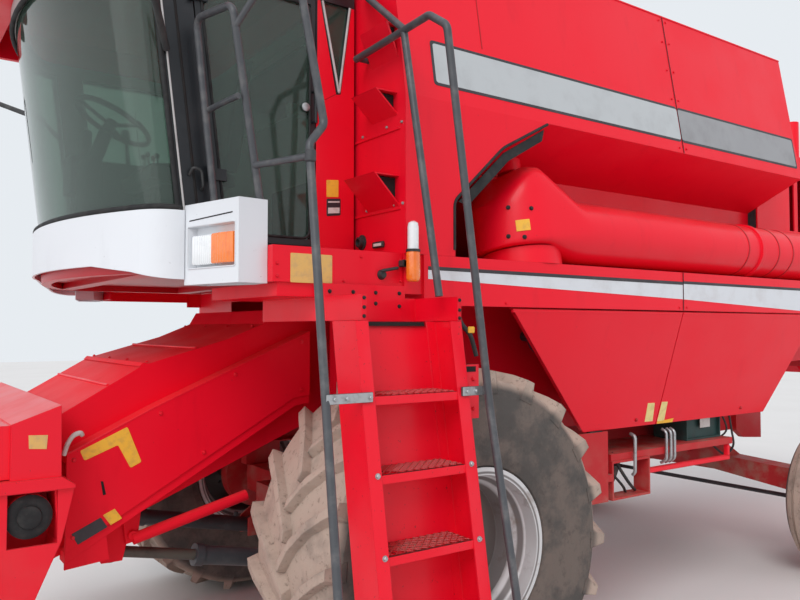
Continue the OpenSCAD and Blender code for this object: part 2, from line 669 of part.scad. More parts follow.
// Cab-height floor beside the door, the landing at the ladder's head and the brackets below them
module platform() color(body_red) from_axle() {
    both_sides() difference() {
        span([front_wall + 2, cab_y + 50, 1948], [904, 1330, 2092]);
        span([front_wall - 10, cab_y + 40, 1940], [892, 1318, 2086]);
    }
    // Bearer under the floor and the landing's plates at the ladder's head
    span([front_wall + 2, 650, 1893], [880, 1318, 1949]);
    span([680, 810, ladder_head], [700, 1650, 1894]);
    span([226, 1352, ladder_head], [246, 1650, 1894]);
    span([246, 1352, ladder_head], [680, 1364, 1894]);
    span([300, 1352, 1893], [700, 1364, 1947]);
}

// Stringers lean out towards the ground by this much for each millimetre of height
ladder_lean = 0.165;
ladder_head = 1796;
ladder_depth = 166;
function ladder_y(z) = 1700 + (1515 - z) * ladder_lean;
tread_z = [1520, 1243, 966, 689, 412];
stringer_foot = 360;

// A channel between two values of X, open towards the treads
module stringer(x0, x1) {
    top = ladder_head - 1;
    side = [[ladder_y(top) - ladder_depth, top], [ladder_y(top), top], [ladder_y(stringer_foot), stringer_foot],
        [ladder_y(stringer_foot) - ladder_depth, stringer_foot]];
    difference() {
        along_x(x0, x1) polygon(side);
        along_x(x0 - 10, x1 - 12) polygon([[side[0][0] + 8, top + 10], [side[1][0] - 8, top + 10],
            [side[2][0] - 8, stringer_foot - 10], [side[3][0] + 8, stringer_foot - 10]]);
    }
}

module ladder() color(body_red) from_axle() {
    x0 = 285;
    x1 = 675;
    back = ladder_depth - 6;
    stringer(674, 730);
    translate([x0 + x1, 0, 0]) mirror([1, 0, 0]) stringer(674, 730);
    for (z = tread_z) difference() {
        span([x0, ladder_y(z) - back - 1, z - 32], [x1, ladder_y(z) - 2, z]);
        span([x0 + 7, ladder_y(z) - back + 6, z - 40], [x1 - 7, ladder_y(z) - 9, z - 5]);
        for (i = [0 : 8], j = [0 : 2])
            span([x0 + 15 + i * 41, ladder_y(z) - 152 + j * 47, z - 60],
                [x0 + 49 + i * 41, ladder_y(z) - 114 + j * 47, z + 10]);
    }
    // Sheet that closes the back of the ladder
    along_x(x0 - 0.5, x1 + 0.5) polygon([for (p = [[back + 4, 1771], [back - 2, 1771], [back - 2, 380], [back + 4, 380]])
        [ladder_y(p[1]) - p[0], p[1]]]);
    // Hinge block on the rear stringer
    span([120, ladder_y(1560) - 100, 1400], [231, ladder_y(1560) - 60, 1620]);
}

module handrails() color(dark_grey) from_axle() {
    d = rail_d;
    front = [[900, 1867, 560], [855, 1530, 2450], [778, 1505, 2540], [925, 1480, 3330]];
    rear = [[160, 1930, 560], [160, 1745, 1452], [350, 1716, 2953], [352, 1604, 3030], [352, 1050, 3008]];
    bent_tube(concat(front, [[925, 1012, 3405]]), d, 45);
    bent_tube(rear, d, 45);
    bar([352, 1062, 3009], [front_wall + 0.2, 1062, 3009], 26);
    bent_tube([[300, 1600, 1895], [350, 1425, 3030], [350, 1150, 3260], [front_wall + 14.4, 1050, 3330]], d, 45);
    // Guard loop on the lamp box, with its rung and the braces to the front rail
    bent_tube([[1009, 1000, box_top + 3], [1096, 1000, 3040], [1058, 1285, 3012], [928, 1262, box_top + 3]],
        d - 2, 45);
    for (p = [[1009, 1000], [928, 1262]]) translate([p[0], p[1], box_top]) cylinder(h = 6, r = 16.5, $fn = 48);
    bar([1042, 1000, 2669], [1030, 1284, 2661], 24);
    bar([955, 1272, 2402], [857, 1545, 2402], 26);
    bar([1046, 1283, 2925], [906, 1482, 3230], 26);
    // Flat clamps that tie the rails to the ladder; the rear rail stands further out, on a lug
    for (c = [[1520, 884, 1735], [690, 900, 1890]]) {
        z = c[0];
        face = ladder_y(z) + 3.2;
        span([690, face, z - 18], [c[1], face + 8, z + 18]);
        span([162, face, z - 18], [272, face + 8, z + 18]);
        span([162, face + 7, z - 18], [172, c[2], z + 18]);
    }
}

module mirrors() color(dark_grey) from_axle() both_sides() {
    bent_tube([[1205, cab_y + 14, 2900], [1330, 1150, 3080], [1566, 1828, 3340], [1566, 1828, 2950]], 30, 60);
    difference() {
        span([1548, 1715, 2900], [1600, 1940, 3290]);
        span([1540, 1725, 2910], [1552, 1930, 3280]);
    }
}

// Cover line of the feeder house: the step at the pivot, the long slope and the ridge ahead of it
feeder_top = [[40, 1858], [520, 1858], [560, 1790], [745, 1715], [1150, 1600], [1537, 1377]];
feeder_nose = 1537;

module feeder_house() color(body_red) from_axle() {
    guard = feeder_y + 90;
    difference() {
        side_plate(concat(feeder_top, [[feeder_nose, 790], [300, 1290], [40, 1330]]), -feeder_y, feeder_y);
        side_plate([[0, 1350], [305, 1303], [feeder_nose + 40, 788], [feeder_nose + 40, 1345], [1146, 1590], [740, 1704],
            [552, 1781], [514, 1848], [0, 1848]], -feeder_y + 10, feeder_y - 10);
        across(conveyor_front[0], -700, conveyor_front[1], 1400, 34);
    }
    both_sides() {
        // Drive guard outside the channel: its face, its top and its underside
        side_plate([[352, 1753], [1126, 1419], [1489, 1246], [1489, 838], [440, 1423], [352, 1433]], guard, guard + 10);
        side_plate([[352, 1753], [1126, 1419], [1489, 1246], [1489, 1206], [1126, 1379], [352, 1713]],
            feeder_y - 1, guard + 1);
        side_plate([[1489, 838], [440, 1423], [352, 1433], [352, 1393], [430, 1383], [1489, 793]],
            feeder_y - 1, guard + 1);
        side_plate([[1489, 900], [1330, 935], [1309, 783], [1489, 768]], guard - 12, guard - 1);
    }
    // Ridge across the top cover
    side_plate([[1120, 1606], [1150, 1612], [1168, 1594], [1150, 1596]], -feeder_y, feeder_y);
    both_sides() across(0, feeder_y - 8, feeder_pivot_z, 60, 60);
    both_sides() side_plate([[-40, feeder_pivot_z - 80], [100, feeder_pivot_z - 120], [100, feeder_pivot_z + 120],
        [-40, feeder_pivot_z + 80]], feeder_y - 9, feeder_y + 3);
    // Eyes for the lift cylinders, and the safety stop that hangs beside them
    both_sides() {
        for (y = [407, 478]) side_plate([[1170, 950], [1370, 870], [lift_eye[0] + 45, lift_eye[1] - 40],
            [lift_eye[0] - 45, lift_eye[1] - 40]], y, y + 15);
        across(lift_eye[0], 408, lift_eye[1], 84, lift_pin_r);
        bar([1190, 530, 832], [650, 530, 960], 52);
        side_plate([[1150, 960], [1230, 930], [1215, 810], [1165, 820]], 500, 518);
        across(1190, 500, 850, 40, 20);
    }
}

// Frame at the front of the feeder house that carries the header
module feeder_frame() color(body_red) from_axle() {
    leg = [[1540, 1184], [1490, 1150], [1490, 1139], [1535, 938], [1628, 725], [1650, 560], [1850, 560], [1775, 1184]];
    difference() {
        union() {
            side_plate([[1543, 1465], [1722, 1400], [1722, 1172], [1540, 1172]], -780, 780);
            span([1715, -760, 1190], [1775, 760, 1395]);
            both_sides() {
                side_plate(leg, feeder_y + 62, 780);
                side_plate([[1490, 1139], [1490, 1152], [1540, 1186], [1775, 1186], [1775, 1139]], feeder_y + 62, 796);
            }
            span([1640, -feeder_y - 63, 600], [1760, feeder_y + 63, 690]);
        }
        // Inside of the cross member
        side_plate([[1555, 1440], [1710, 1385], [1710, 1186], [1555, 1186]], feeder_y + 30, 770);
        side_plate([[1555, 1440], [1710, 1385], [1710, 1186], [1555, 1186]], -770, -feeder_y - 30);
        span([1530, -feeder_y + 10, 1100], [1800, feeder_y - 10, 1345]);
        both_sides() {
            // Hollow legs, open underneath, and the square window of the drive coupling
            side_plate([[1560, 1130], [1548, 930], [1640, 725], [1662, 550], [1830, 550], [1762, 1130]], feeder_y + 72, 768);
            span([1552, 760, 930], [1730, 800, 1136]);
        }
    }
    both_sides() {
        across(1690, 779, 640, 61, 16);
        // Round coupling of the header's drive behind the window
        across(1651, feeder_y + 70, 1040, 165, 86);
        across(1651, feeder_y + 230, 1040, 20, 40);
    }
}

// Conveyor in the feeder: front drum, two chains as closed loops and their slats
conveyor_front = [1370, 1050, 150];
conveyor_rear = [110, 1530, 110];

// Outline of a chain round its drums, larger by t; its straight runs sag a little inside the rounds
module conveyor_outline(t) {
    a = [conveyor_front[0], conveyor_front[1]];
    b = [conveyor_rear[0], conveyor_rear[1]];
    v = b - a;
    n = [-v[1], v[0]] / norm(v);
    sag = 1;
    ra = conveyor_front[2] + t;
    rb = conveyor_rear[2] + t;
    translate(a) circle(r = ra, $fn = 64);
    translate(b) circle(r = rb, $fn = 64);
    polygon([a + n * (ra - sag), b + n * (rb - sag), b - n * (rb - sag), a - n * (ra - sag)]);
}

module feeder_conveyor() color(steel) from_axle() {
    across(conveyor_front[0], -feeder_y + 14, conveyor_front[1], 2 * feeder_y - 28, conveyor_front[2] - 20);
    across(conveyor_rear[0], -feeder_y + 14, conveyor_rear[1], 2 * feeder_y - 28, conveyor_rear[2] - 20);
    both_sides() across(conveyor_front[0], feeder_y - 15, conveyor_front[1], 90, 30);
    for (y = [-420, 0, 420]) translate([0, y + 15, 0]) rotate([90, 0, 0]) linear_extrude(30) difference() {
        conveyor_outline(0);
        conveyor_outline(-22);
    }
    v = [conveyor_rear[0] - conveyor_front[0], conveyor_rear[1] - conveyor_front[1]];
    slope = atan2(v[1], v[0]);
    taper = (conveyor_front[2] - conveyor_rear[2]) / norm(v);
    for (i = [0 : 4], side = [-1, 1])
        translate([conveyor_front[0], 0, conveyor_front[1]]) rotate([0, -slope, 0])
            translate([80 + i * 235, 0, side * (conveyor_front[2] - 2 - (80 + i * 235) * taper)])
                span([-25, -460, side > 0 ? -10 : -14], [25, 460, side > 0 ? 14 : 10]);
}

lift_base = [175, 545];
lift_eye = [1268, 775];
lift_y = 450;
lift_pin_r = 16;
// The rods' eyes run loose on their pins
lift_bore_r = 32;
lift_angle = atan2(lift_eye[1] - lift_base[1], lift_eye[0] - lift_base[0]);

module lift_barrels() color(dark_grey) from_axle() both_sides()
    translate([lift_base[0], lift_y, lift_base[1]]) rotate([0, -lift_angle, 0]) difference() {
        union() {
            rotate([90, 0, 0]) cylinder(h = 70, r = 45, $fn = 48, center = true);
            rotate([0, 90, 0]) cylinder(h = 700, r = 44, $fn = 48);
            translate([680, 0, 0]) rotate([0, 90, 0]) cylinder(h = 40, r = 52, $fn = 48);
            translate([120, 0, 30]) cylinder(h = 40, r = 14, $fn = 32);
        }
        rotate([90, 0, 0]) cylinder(h = 100, r = 23, $fn = 48, center = true);
        translate([60, 0, 0]) rotate([0, 90, 0]) cylinder(h = 700, r = 26, $fn = 48);
    }

module lift_rods() color(steel) from_axle() both_sides()
    translate([lift_base[0], lift_y, lift_base[1]]) rotate([0, -lift_angle, 0]) {
        reach = norm(lift_eye - lift_base);
        translate([300, 0, 0]) rotate([0, 90, 0]) cylinder(h = reach - 338, r = 25, $fn = 48);
        difference() {
            translate([reach, 0, 0]) rotate([90, 0, 0]) cylinder(h = 44, r = 48, $fn = 48, center = true);
            translate([reach, 0, 0]) rotate([90, 0, 0]) cylinder(h = 80, r = lift_bore_r, $fn = 48, center = true);
        }
    }

module engine_block() color([0.25, 0.26, 0.28]) from_axle() span([-4150, -450, 2104], [-3250, 450, 2850]);

module engine_housing() color(body_red) from_axle() {
    half = 1030;
    foot = band_top + 2;
    difference() {
        span([-4480, -half, foot], [-3066, half, 3080]);
        span([-4468, -half + 12, foot + 12], [-3054, half - 12, 3068]);
        across(-3780, -half - 20, 2620, 60, 380);
        for (i = [0 : 7]) span([-4420 + i * 120, half - 80, 2500], [-4350 + i * 120, half + 20, 2900]);
    }
    translate([-4200, 700, 3079]) cylinder(h = 420, r = 55, $fn = 48);
    translate([-3500, 500, 3079]) cylinder(h = 160, r = 110, $fn = 48);
}

module rotary_screen() color(dark_grey) from_axle() {
    across(-3780, -1028, 2620, 60, 370);
    across(-3780, -970, 2620, 80, 40);
}

module rear_hood() color(body_red) from_axle() {
    outline = [[-4486, 2062], [-4486, 2700], [-5300, 2560], [-6040, 2200], [-6040, 1880], [-5570, 1880], [-5570, 2062]];
    difference() {
        side_plate(outline, -core_y - 60, core_y + 60);
        side_plate([[-4498, 2074], [-4498, 2688], [-5297, 2548], [-6028, 2192], [-6028, 1820], [-5582, 1820],
            [-5582, 2074]], -core_y - 48, core_y + 48);
        span([-5600, -core_y + 12, 1892], [-5560, core_y - 12, 2050]);
        side_plate([[-5570, 2074], [-5570, 2050], [-4560, 2050], [-4560, 2090], [-5570, 2090]], -core_y + 12, core_y - 12);
    }
}

module straw_walkers() color([0.55, 0.50, 0.42]) from_axle() {
    n = 5;
    pitch = (2 * core_y - 60) / n;
    for (i = [0 : n - 1]) {
        y = -core_y + 30 + i * pitch;
        lift = (i % 2) * 60;
        difference() {
            side_plate([[-3300, 1620 + lift], [-3300, 1700 + lift], [-5500, 1930 + lift], [-5500, 1810 + lift]],
                y + 12, y + pitch - 12);
            side_plate([[-3290, 1640 + lift], [-3290, 1720 + lift], [-5510, 1950 + lift], [-5510, 1830 + lift]],
                y + 18, y + pitch - 18);
        }
        for (j = [0 : 6]) side_plate([[-3400 - j * 310, 1650 + j * 32 + lift], [-3400 - j * 310, 1740 + j * 32 + lift],
            [-3440 - j * 310, 1780 + j * 32 + lift], [-3450 - j * 310, 1655 + j * 32 + lift]], y + 17, y + pitch - 17);
    }
    for (x = [-3500, -5200]) across(x, -core_y + 11, x == -3500 ? 1625 : 1780, 2 * core_y - 22, 25);
}

// Cleaning shoe: an open pan with two sieves, in the gap of the body's floor
module cleaning_shoe() color(steel) from_axle() {
    half = 650;
    difference() {
        side_plate([[-2700, 1480], [-2700, 1130], [-3200, 1130], [-3800, 1290], [-3800, 1480]], -half, half);
        side_plate([[-2712, 1600], [-2712, 1142], [-3200, 1142], [-3900, 1329], [-3900, 1600]], -half + 8, half - 8);
    }
    for (z = [1310, 1410]) side_plate([[-2705, z - 20], [-2705, z - 12], [-3790, z + 22], [-3790, z + 14]],
        -half + 7, half - 7);
}

chopper_x = -5780;
chopper_z = 1650;

module chopper_housing() color(dark_red) from_axle() {
    difference() {
        side_plate([[-5572, 1876], [-5564, 1560], [-5650, 1380], [-5900, 1380], [-6040, 1620], [-6040, 1876]],
            -core_y, core_y);
        side_plate([[-5590, 1920], [-5582, 1566], [-5658, 1394], [-5850, 1394], [-5850, 1320], [-6100, 1320],
            [-6100, 1610], [-6028, 1626], [-6028, 1920]], -core_y + 12, core_y - 12);
        across(chopper_x, -900, chopper_z, 1800, 46);
    }
}

module chopper_rotor() color(steel) from_axle() {
    across(chopper_x, -core_y + 40, chopper_z, 2 * core_y - 80, 75);
    across(chopper_x, -core_y - 30, chopper_z, 2 * core_y + 60, 30);
    for (i = [0 : 11], a = [0, 180])
        translate([chopper_x, -core_y + 90 + i * 122, chopper_z]) rotate([0, a + i * 90, 0])
            span([-25, 0, 60], [25, 10, 190]);
    across(chopper_x, -core_y - 100, chopper_z, 70, 120);
}

module tailboard() color(body_red) from_axle() {
    side_plate([[-6052, 1622], [-6038, 1622], [-5946, 1384], [-5958, 1378], [-5966, 1384]], -core_y + 30, core_y - 30);
    side_plate([[-5966, 1384], [-5946, 1384], [-6030, 1296], [-6040, 1304]], -core_y + 30, core_y - 30);
    for (i = [0 : 7]) side_plate([[-5980, 1372], [-5950, 1378], [-5905, 1365], [-5990, 1290], [-6032, 1306]],
        -core_y + 80 + i * 180, -core_y + 86 + i * 180);
    across(-6052, -core_y + 30, 1626, 2 * core_y - 60, 12);
}

module fuel_tank() color(dark_grey) from_axle() {
    difference() {
        span([-4180, -1330, 1560], [-3390, -core_y - 10, 1850]);
        span([-4170, -1320, 1570], [-3400, -core_y - 20, 1840]);
    }
    translate([-3600, -1250, 1849]) cylinder(h = 12, r = 50, $fn = 48);
}

module battery_box() color([0.07, 0.16, 0.14]) from_axle() {
    difference() {
        span([-2480, 830, 1051], [-2110, 1080, 1230]);
        span([-2470, 1060, 1062], [-2120, 1100, 1220]);
    }
    for (x = [-2400, -2250]) translate([x, 950, 1229]) cylinder(h = 20, r = 14, $fn = 32);
}

// Carcass of a tyre as a turned form, seated between the flanges of its rim
module carcass(w, r, rim_r, rim_w, h, grooves) {
    b = rim_w / 2;
    tread = r - h;
    half = [[rim_r - 28, b - 60], [rim_r - 22.5, b - 21], [rim_r + 1, b - 15.2], [rim_r + 9, b + 3],
        [rim_r + 55, w / 2 - 5], [(r + rim_r) / 2 + 20, w / 2 - 1], [tread - 55, w / 2 - 12], [tread - 14, w / 2 - 45],
        [tread, w / 4]];
    rotate([90, 0, 0]) rotate_extrude($fn = 128) difference() {
        polygon(concat(half, [for (i = [len(half) - 1 : -1 : 0]) [half[i][0], -half[i][1]]]));
        translate([0, -w / 2 + 75]) square([tread - 90, w - 150]);
        for (y = grooves) translate([tread - 16, y - 9]) square([40, 18]);
    }
}

// Sections of one lug from the nose near the middle to the tip on the shoulder:
// share of the half width, share of the sweep round the tyre, top radius lost, depth of the foot
front_lug = [[-0.05, 0.00, 0, 70], [0.20, 0.34, 0, 70], [0.50, 0.64, 3, 75], [0.82, 0.88, 8, 80],
    [1.00, 1.00, 18, 115]];

// One lug as a bar swept through its sections, on the half of the tread that side gives
module lug(sections, r, half_w, sweep, top_w, foot_w, start, side) {
    n = len(sections);
    function corner(s, edge, radius) = let (a = start + s[1] * sweep + edge / radius * 180 / PI)
        [radius * cos(a), side * s[0] * half_w, radius * sin(a)];
    points = [for (s = sections) for (k = [0 : 3])
        k == 0 ? corner(s, -foot_w / 2, r - s[3]) : k == 1 ? corner(s, foot_w / 2, r - s[3])
        : k == 2 ? corner(s, top_w / 2, r - s[2]) : corner(s, -top_w / 2, r - s[2])];
    walls = [for (i = [0 : n - 2], k = [0 : 3]) each let (a = 4 * i + k, b = 4 * i + (k + 1) % 4)
        [[a, b, b + 4], [a, b + 4, a + 4]]];
    ends = [[3, 2, 1], [3, 1, 0], [4 * n - 4, 4 * n - 3, 4 * n - 2], [4 * n - 4, 4 * n - 2, 4 * n - 1]];
    faces = concat(walls, ends);
    polyhedron(points, side < 0 ? faces : [for (f = faces) [f[2], f[1], f[0]]]);
}

module front_tyre() {
    r = front_tyre_d / 2;
    carcass(front_tyre_w, r, front_rim_r, front_rim_w, lug_h, []);
    for (i = [0 : front_lugs - 1], side = [-1, 1])
        lug(front_lug, r, front_tyre_w / 2 - 8, 22, 44, 78, (i + (side > 0 ? 0 : 0.5)) * 360 / front_lugs, side);
}

// The steered tyres carry plain ribs
module rear_tyre() carcass(rear_tyre_w, rear_tyre_d / 2, rear_rim_r, rear_rim_w, 0, [-100, -35, 35, 100]);

module front_tyre_left() color(rubber) from_axle() translate([0, front_wheel_y, front_axle_z]) front_tyre();
module front_tyre_right() color(rubber) from_axle() translate([0, -front_wheel_y, front_axle_z]) mirror([0, 1, 0])
    front_tyre();
module rear_tyre_left() color(rubber) from_axle() translate([-wheelbase, rear_wheel_y, rear_axle_z]) rear_tyre();
module rear_tyre_right() color(rubber) from_axle() translate([-wheelbase, -rear_wheel_y, rear_axle_z])
    mirror([0, 1, 0]) rear_tyre();

// Turned steel rim; its profile is radius against distance out from the wheel's middle
module rim(r, w, dish, hub_r, bolt_r) {
    h = w / 2;
    rotate([-90, 0, 0]) difference() {
        rotate_extrude($fn = 96) polygon([[r, -h], [r, -h + 14], [r - 24, -h + 20], [r - 30, -h + 60], [r - 70, -h + 110],
            [r - 70, h - 130], [r - 30, h - 60], [r - 24, h - 20], [r, h - 14], [r, h], [r - 34, h], [r - 42, h - 62],
            [r - 82, h - 128], [r - 82, dish + 14], [hub_r + 60, dish + 14], [hub_r, dish + 40], [0, dish + 40],
            [0, dish - 10], [hub_r + 20, dish - 10], [r - 90, dish], [r - 82, -h + 112], [r - 42, -h + 62],
            [r - 34, -h]]);
        for (a = [0 : 45 : 315]) rotate([0, 0, a + 22.5]) translate([bolt_r, 0, dish - 50])
            cylinder(h = 120, r = 11, $fn = 32);
    }
}

module front_rim(side) translate([0, side * front_wheel_y, front_axle_z]) rotate([0, 0, side > 0 ? 0 : 180]) {
    rim(front_rim_r, front_rim_w, 96, 110, 145);
    rotate([-90, 0, 0]) translate([0, 0, hub_face - front_wheel_y]) cylinder(h = 335, r = 105, $fn = 64);
}

module front_rim_left() color(pale_grey) from_axle() front_rim(1);
module front_rim_right() color(pale_grey) from_axle() front_rim(-1);

module rear_rim(side) translate([-wheelbase, side * rear_wheel_y, rear_axle_z]) rotate([0, 0, side > 0 ? 0 : 180])
    difference() {
        union() {
            rim(rear_rim_r, rear_rim_w, 30, 60, 90);
            rotate([-90, 0, 0]) translate([0, 0, -170]) cylinder(h = 260, r = 70, $fn = 64);
        }
        rotate([-90, 0, 0]) translate([0, 0, -200]) cylinder(h = 185, r = 49, $fn = 48);
    }

module rear_wheel_left() color(pale_grey) from_axle() rear_rim(1);
module rear_wheel_right() color(pale_grey) from_axle() rear_rim(-1);

main_frame();
front_axle();
rear_axle_beam();
separator_body();
side_bands();
drive_pulleys();
grain_tank();
tank_filler();
auger_turret();
cab_frame();
cab_roof();
cab_glass();
front_fairing();
lamps();
operator_seat();
cab_console();
steering_wheel();
platform();
ladder();
handrails();
mirrors();
engine_block();
engine_housing();
rotary_screen();
rear_hood();
straw_walkers();
cleaning_shoe();
chopper_housing();
chopper_rotor();
tailboard();
fuel_tank();
battery_box();
side_panel_left_front();
side_panel_left_rear();
side_panel_right_front();
side_panel_right_rear();
cab_door();
door_pane();
feeder_house();
feeder_frame();
feeder_conveyor();
lift_barrels();
lift_rods();
auger_tube();
front_rim_left();
front_tyre_left();
front_rim_right();
front_tyre_right();
knuckle_left();
knuckle_right();
tie_rod();
rear_wheel_left();
rear_tyre_left();
rear_wheel_right();
rear_tyre_right();
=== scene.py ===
import json
from math import asin, copysign, cos, pi, radians, sin, sqrt, tan

import bmesh
import bpy
from mathutils import Matrix, Vector


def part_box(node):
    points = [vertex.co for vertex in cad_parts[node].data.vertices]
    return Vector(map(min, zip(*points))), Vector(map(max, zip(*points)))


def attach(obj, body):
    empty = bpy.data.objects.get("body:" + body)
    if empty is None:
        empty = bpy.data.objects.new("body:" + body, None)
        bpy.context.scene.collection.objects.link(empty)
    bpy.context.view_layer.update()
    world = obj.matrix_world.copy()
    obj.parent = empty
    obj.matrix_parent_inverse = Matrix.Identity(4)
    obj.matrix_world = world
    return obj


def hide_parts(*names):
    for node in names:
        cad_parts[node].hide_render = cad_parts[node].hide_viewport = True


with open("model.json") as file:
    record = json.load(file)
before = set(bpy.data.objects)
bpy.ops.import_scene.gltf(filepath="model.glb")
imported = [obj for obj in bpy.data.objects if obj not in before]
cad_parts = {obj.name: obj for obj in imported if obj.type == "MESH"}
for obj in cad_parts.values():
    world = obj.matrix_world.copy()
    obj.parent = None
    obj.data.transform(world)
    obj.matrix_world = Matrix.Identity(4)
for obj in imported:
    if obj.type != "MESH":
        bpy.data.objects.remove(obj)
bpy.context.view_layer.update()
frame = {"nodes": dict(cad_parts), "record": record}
NODES = frame["nodes"]

AX = 2.107  # the front axle's distance ahead of the origin; places below are given from that axle
PANEL_Y = 1.35
TANK_LOW, TANK_TOP, TANK_TOP_Y = 2.79, 3.655, 1.205
GLASS_LOW = 2.25
CAB_Y = 0.95
LEAN = tan(radians(7))
FRONT_WALL = 0.291
LADDER_LEAN = 0.165
FRONT_WHEEL_Z = 0.8
REAR_WHEEL_X, REAR_WHEEL_Z = -3.72, 0.53

# Camera: level, pitched up a little, 34.4 mm lens on a 36 mm sensor
CAMERA_AT = (2.205 + AX, 4.017, 1.768)
CAMERA_AZIMUTH = 144.69
CAMERA_PITCH = 2.1
LENS = 765 / 800 * 36
AHEAD, LEFT, UP = (1, 0, 0), (0, 1, 0), (0, 0, 1)
SIDES = (("left", 1), ("right", -1))  # the ending of a name, and the sign of Y


def at(x, y, z):
    """A point given from the front axle, in the row frame."""
    return Vector((x + AX, y, z))


def on_side(y, places):
    """Points in a plane along the machine, given as (x, z)."""
    return [at(x, y, z) for x, z in places]


def on_front(x, places, side=1):
    """Points in a plane across the machine, given as (y, z)."""
    return [at(x, side * y, z) for y, z in places]


def rect(a0, b0, a1, b1):
    """The corners of a rectangle in a plane, one after another."""
    return (a0, b0), (a1, b0), (a1, b1), (a0, b1)


def around(middle, r, count, start=0.0):
    """Places on a circle round an axle that runs across the machine, from start degrees on."""
    turns = (radians(start + 360 * k / count) for k in range(count))
    return [middle + Vector((r * cos(a), 0, r * sin(a))) for a in turns]


# Materials

class Finish:
    """A material whose nodes are added one by one; patterns are laid out in the piece's own coordinates."""

    def __init__(self, name, color, rough=0.5, metal=0.0, **more):
        self.m = bpy.data.materials.new(name)
        self.m.use_nodes = True
        self.tree = self.m.node_tree
        self.bsdf = self.tree.nodes["Principled BSDF"]
        self.put("Base Color", (*color, 1))
        self.put("Roughness", rough)
        self.put("Metallic", metal)
        for key, value in more.items():
            self.put(key.replace("_", " "), value)
        self.color = None
        self.place = self.tree.nodes.new("ShaderNodeTexCoord").outputs["Object"]

    def put(self, socket, value):
        self.bsdf.inputs[socket].default_value = value

    def join(self, out, socket):
        self.tree.links.new(out, socket)

    def node(self, kind, **settings):
        n = self.tree.nodes.new("ShaderNode" + kind)
        for key, value in settings.items():
            setattr(n, key, value)
        return n

    def noise(self, scale, detail=3.0, rough=0.55, stretch=None):
        n = self.node("TexNoise")
        n.inputs["Scale"].default_value = scale
        n.inputs["Detail"].default_value = detail
        n.inputs["Roughness"].default_value = rough
        place = self.place
        if stretch:
            m = self.node("Mapping")
            m.inputs["Scale"].default_value = stretch
            self.join(place, m.inputs["Vector"])
            place = m.outputs["Vector"]
        self.join(place, n.inputs["Vector"])
        return n.outputs["Fac"]

    def window(self, value, low, high, to_low=0.0, to_high=1.0):
        n = self.node("MapRange", interpolation_type="SMOOTHSTEP")
        for key, v in (("From Min", low), ("From Max", high), ("To Min", to_low), ("To Max", to_high)):
            n.inputs[key].default_value = v
        self.join(value, n.inputs["Value"])
        return n.outputs["Result"]

    def math(self, kind, a, b):
        n = self.node("Math", operation=kind)
        for socket, v in zip(n.inputs, (a, b)):
            if isinstance(v, (int, float)):
                socket.default_value = v
            else:
                self.join(v, socket)
        return n.outputs["Value"]

    def cover(self, share, color):
        """Lays another colour over the base where share is high."""
        n = self.node("Mix", data_type="RGBA")
        self.join(share, n.inputs["Factor"])
        n.inputs["A"].default_value = self.bsdf.inputs["Base Color"].default_value
        if self.color:
            self.join(self.color, n.inputs["A"])
        n.inputs["B"].default_value = (*color, 1)
        self.color = n.outputs["Result"]
        self.join(self.color, self.bsdf.inputs["Base Color"])

    def patches(self, noise, window, share, color):
        """Lays another colour over in the patches of a noise."""
        self.cover(self.window(self.noise(*noise), *window, 0.0, share), color)

    def roughness(self, value, low, high):
        self.join(self.window(value, 0.3, 0.7, low, high), self.bsdf.inputs["Roughness"])

    def bump(self, height, strength, distance, edge=0.0):
        n = self.node("Bump")
        n.inputs["Strength"].default_value = strength
        n.inputs["Distance"].default_value = distance
        self.join(height, n.inputs["Height"])
        if edge:
            b = self.node("Bevel", samples=3)
            b.inputs["Radius"].default_value = edge
            self.join(b.outputs["Normal"], n.inputs["Normal"])
        self.join(n.outputs["Normal"], self.bsdf.inputs["Normal"])

    def up(self):
        """How much the surface faces upwards."""
        n = self.node("SeparateXYZ")
        self.join(self.node("NewGeometry").outputs["Normal"], n.inputs["Vector"])
        return self.window(n.outputs["Z"], 0.45, 0.95)

    def axis(self, name):
        n = self.node("SeparateXYZ")
        self.join(self.place, n.inputs["Vector"])
        return n.outputs[name]

    def radius(self, x, z):
        """Distance from an axle that runs across the machine."""
        dx = self.math("SUBTRACT", self.axis("X"), x)
        dz = self.math("SUBTRACT", self.axis("Z"), z)
        square = self.math("ADD", self.math("MULTIPLY", dx, dx), self.math("MULTIPLY", dz, dz))
        return self.math("SQRT", square, 0.0)


DUST = (0.34, 0.25, 0.19)


def paint(name, color, faded, rough, dust=0.35, edge=0.004, shine=1.0):
    """Enamel that has stood outdoors: faded in patches, chalky and dusty on top and near the ground."""
    f = Finish(name, color, rough, Coat_Weight=0.09 * shine, Coat_Roughness=0.12,
               Specular_IOR_Level=0.24 * shine)
    f.patches((0.9, 3), (0.42, 0.72), 0.35, faded)
    f.patches((9, 4, 0.6, (1, 1, 0.25)), (0.55, 0.78), 0.22, tuple(0.72 * c for c in color))
    top = f.math("MULTIPLY", f.up(), f.window(f.noise(5, 5, 0.65), 0.38, 0.7, 0.1, dust))
    low = f.math("MULTIPLY", f.window(f.axis("Z"), 0.35, 1.25, 1.0, 0.0),
                 f.window(f.noise(7, 5), 0.42, 0.72, 0.05, dust))
    f.cover(f.math("MAXIMUM", top, low), DUST)
    f.patches((85, 2, 0.7), (0.735, 0.765), 0.55, (0.1, 0.05, 0.04))
    f.roughness(f.noise(3, 4), rough, rough + 0.16)
    f.bump(f.noise(260, 2), 0.1, 0.0004, edge)
    return f.m


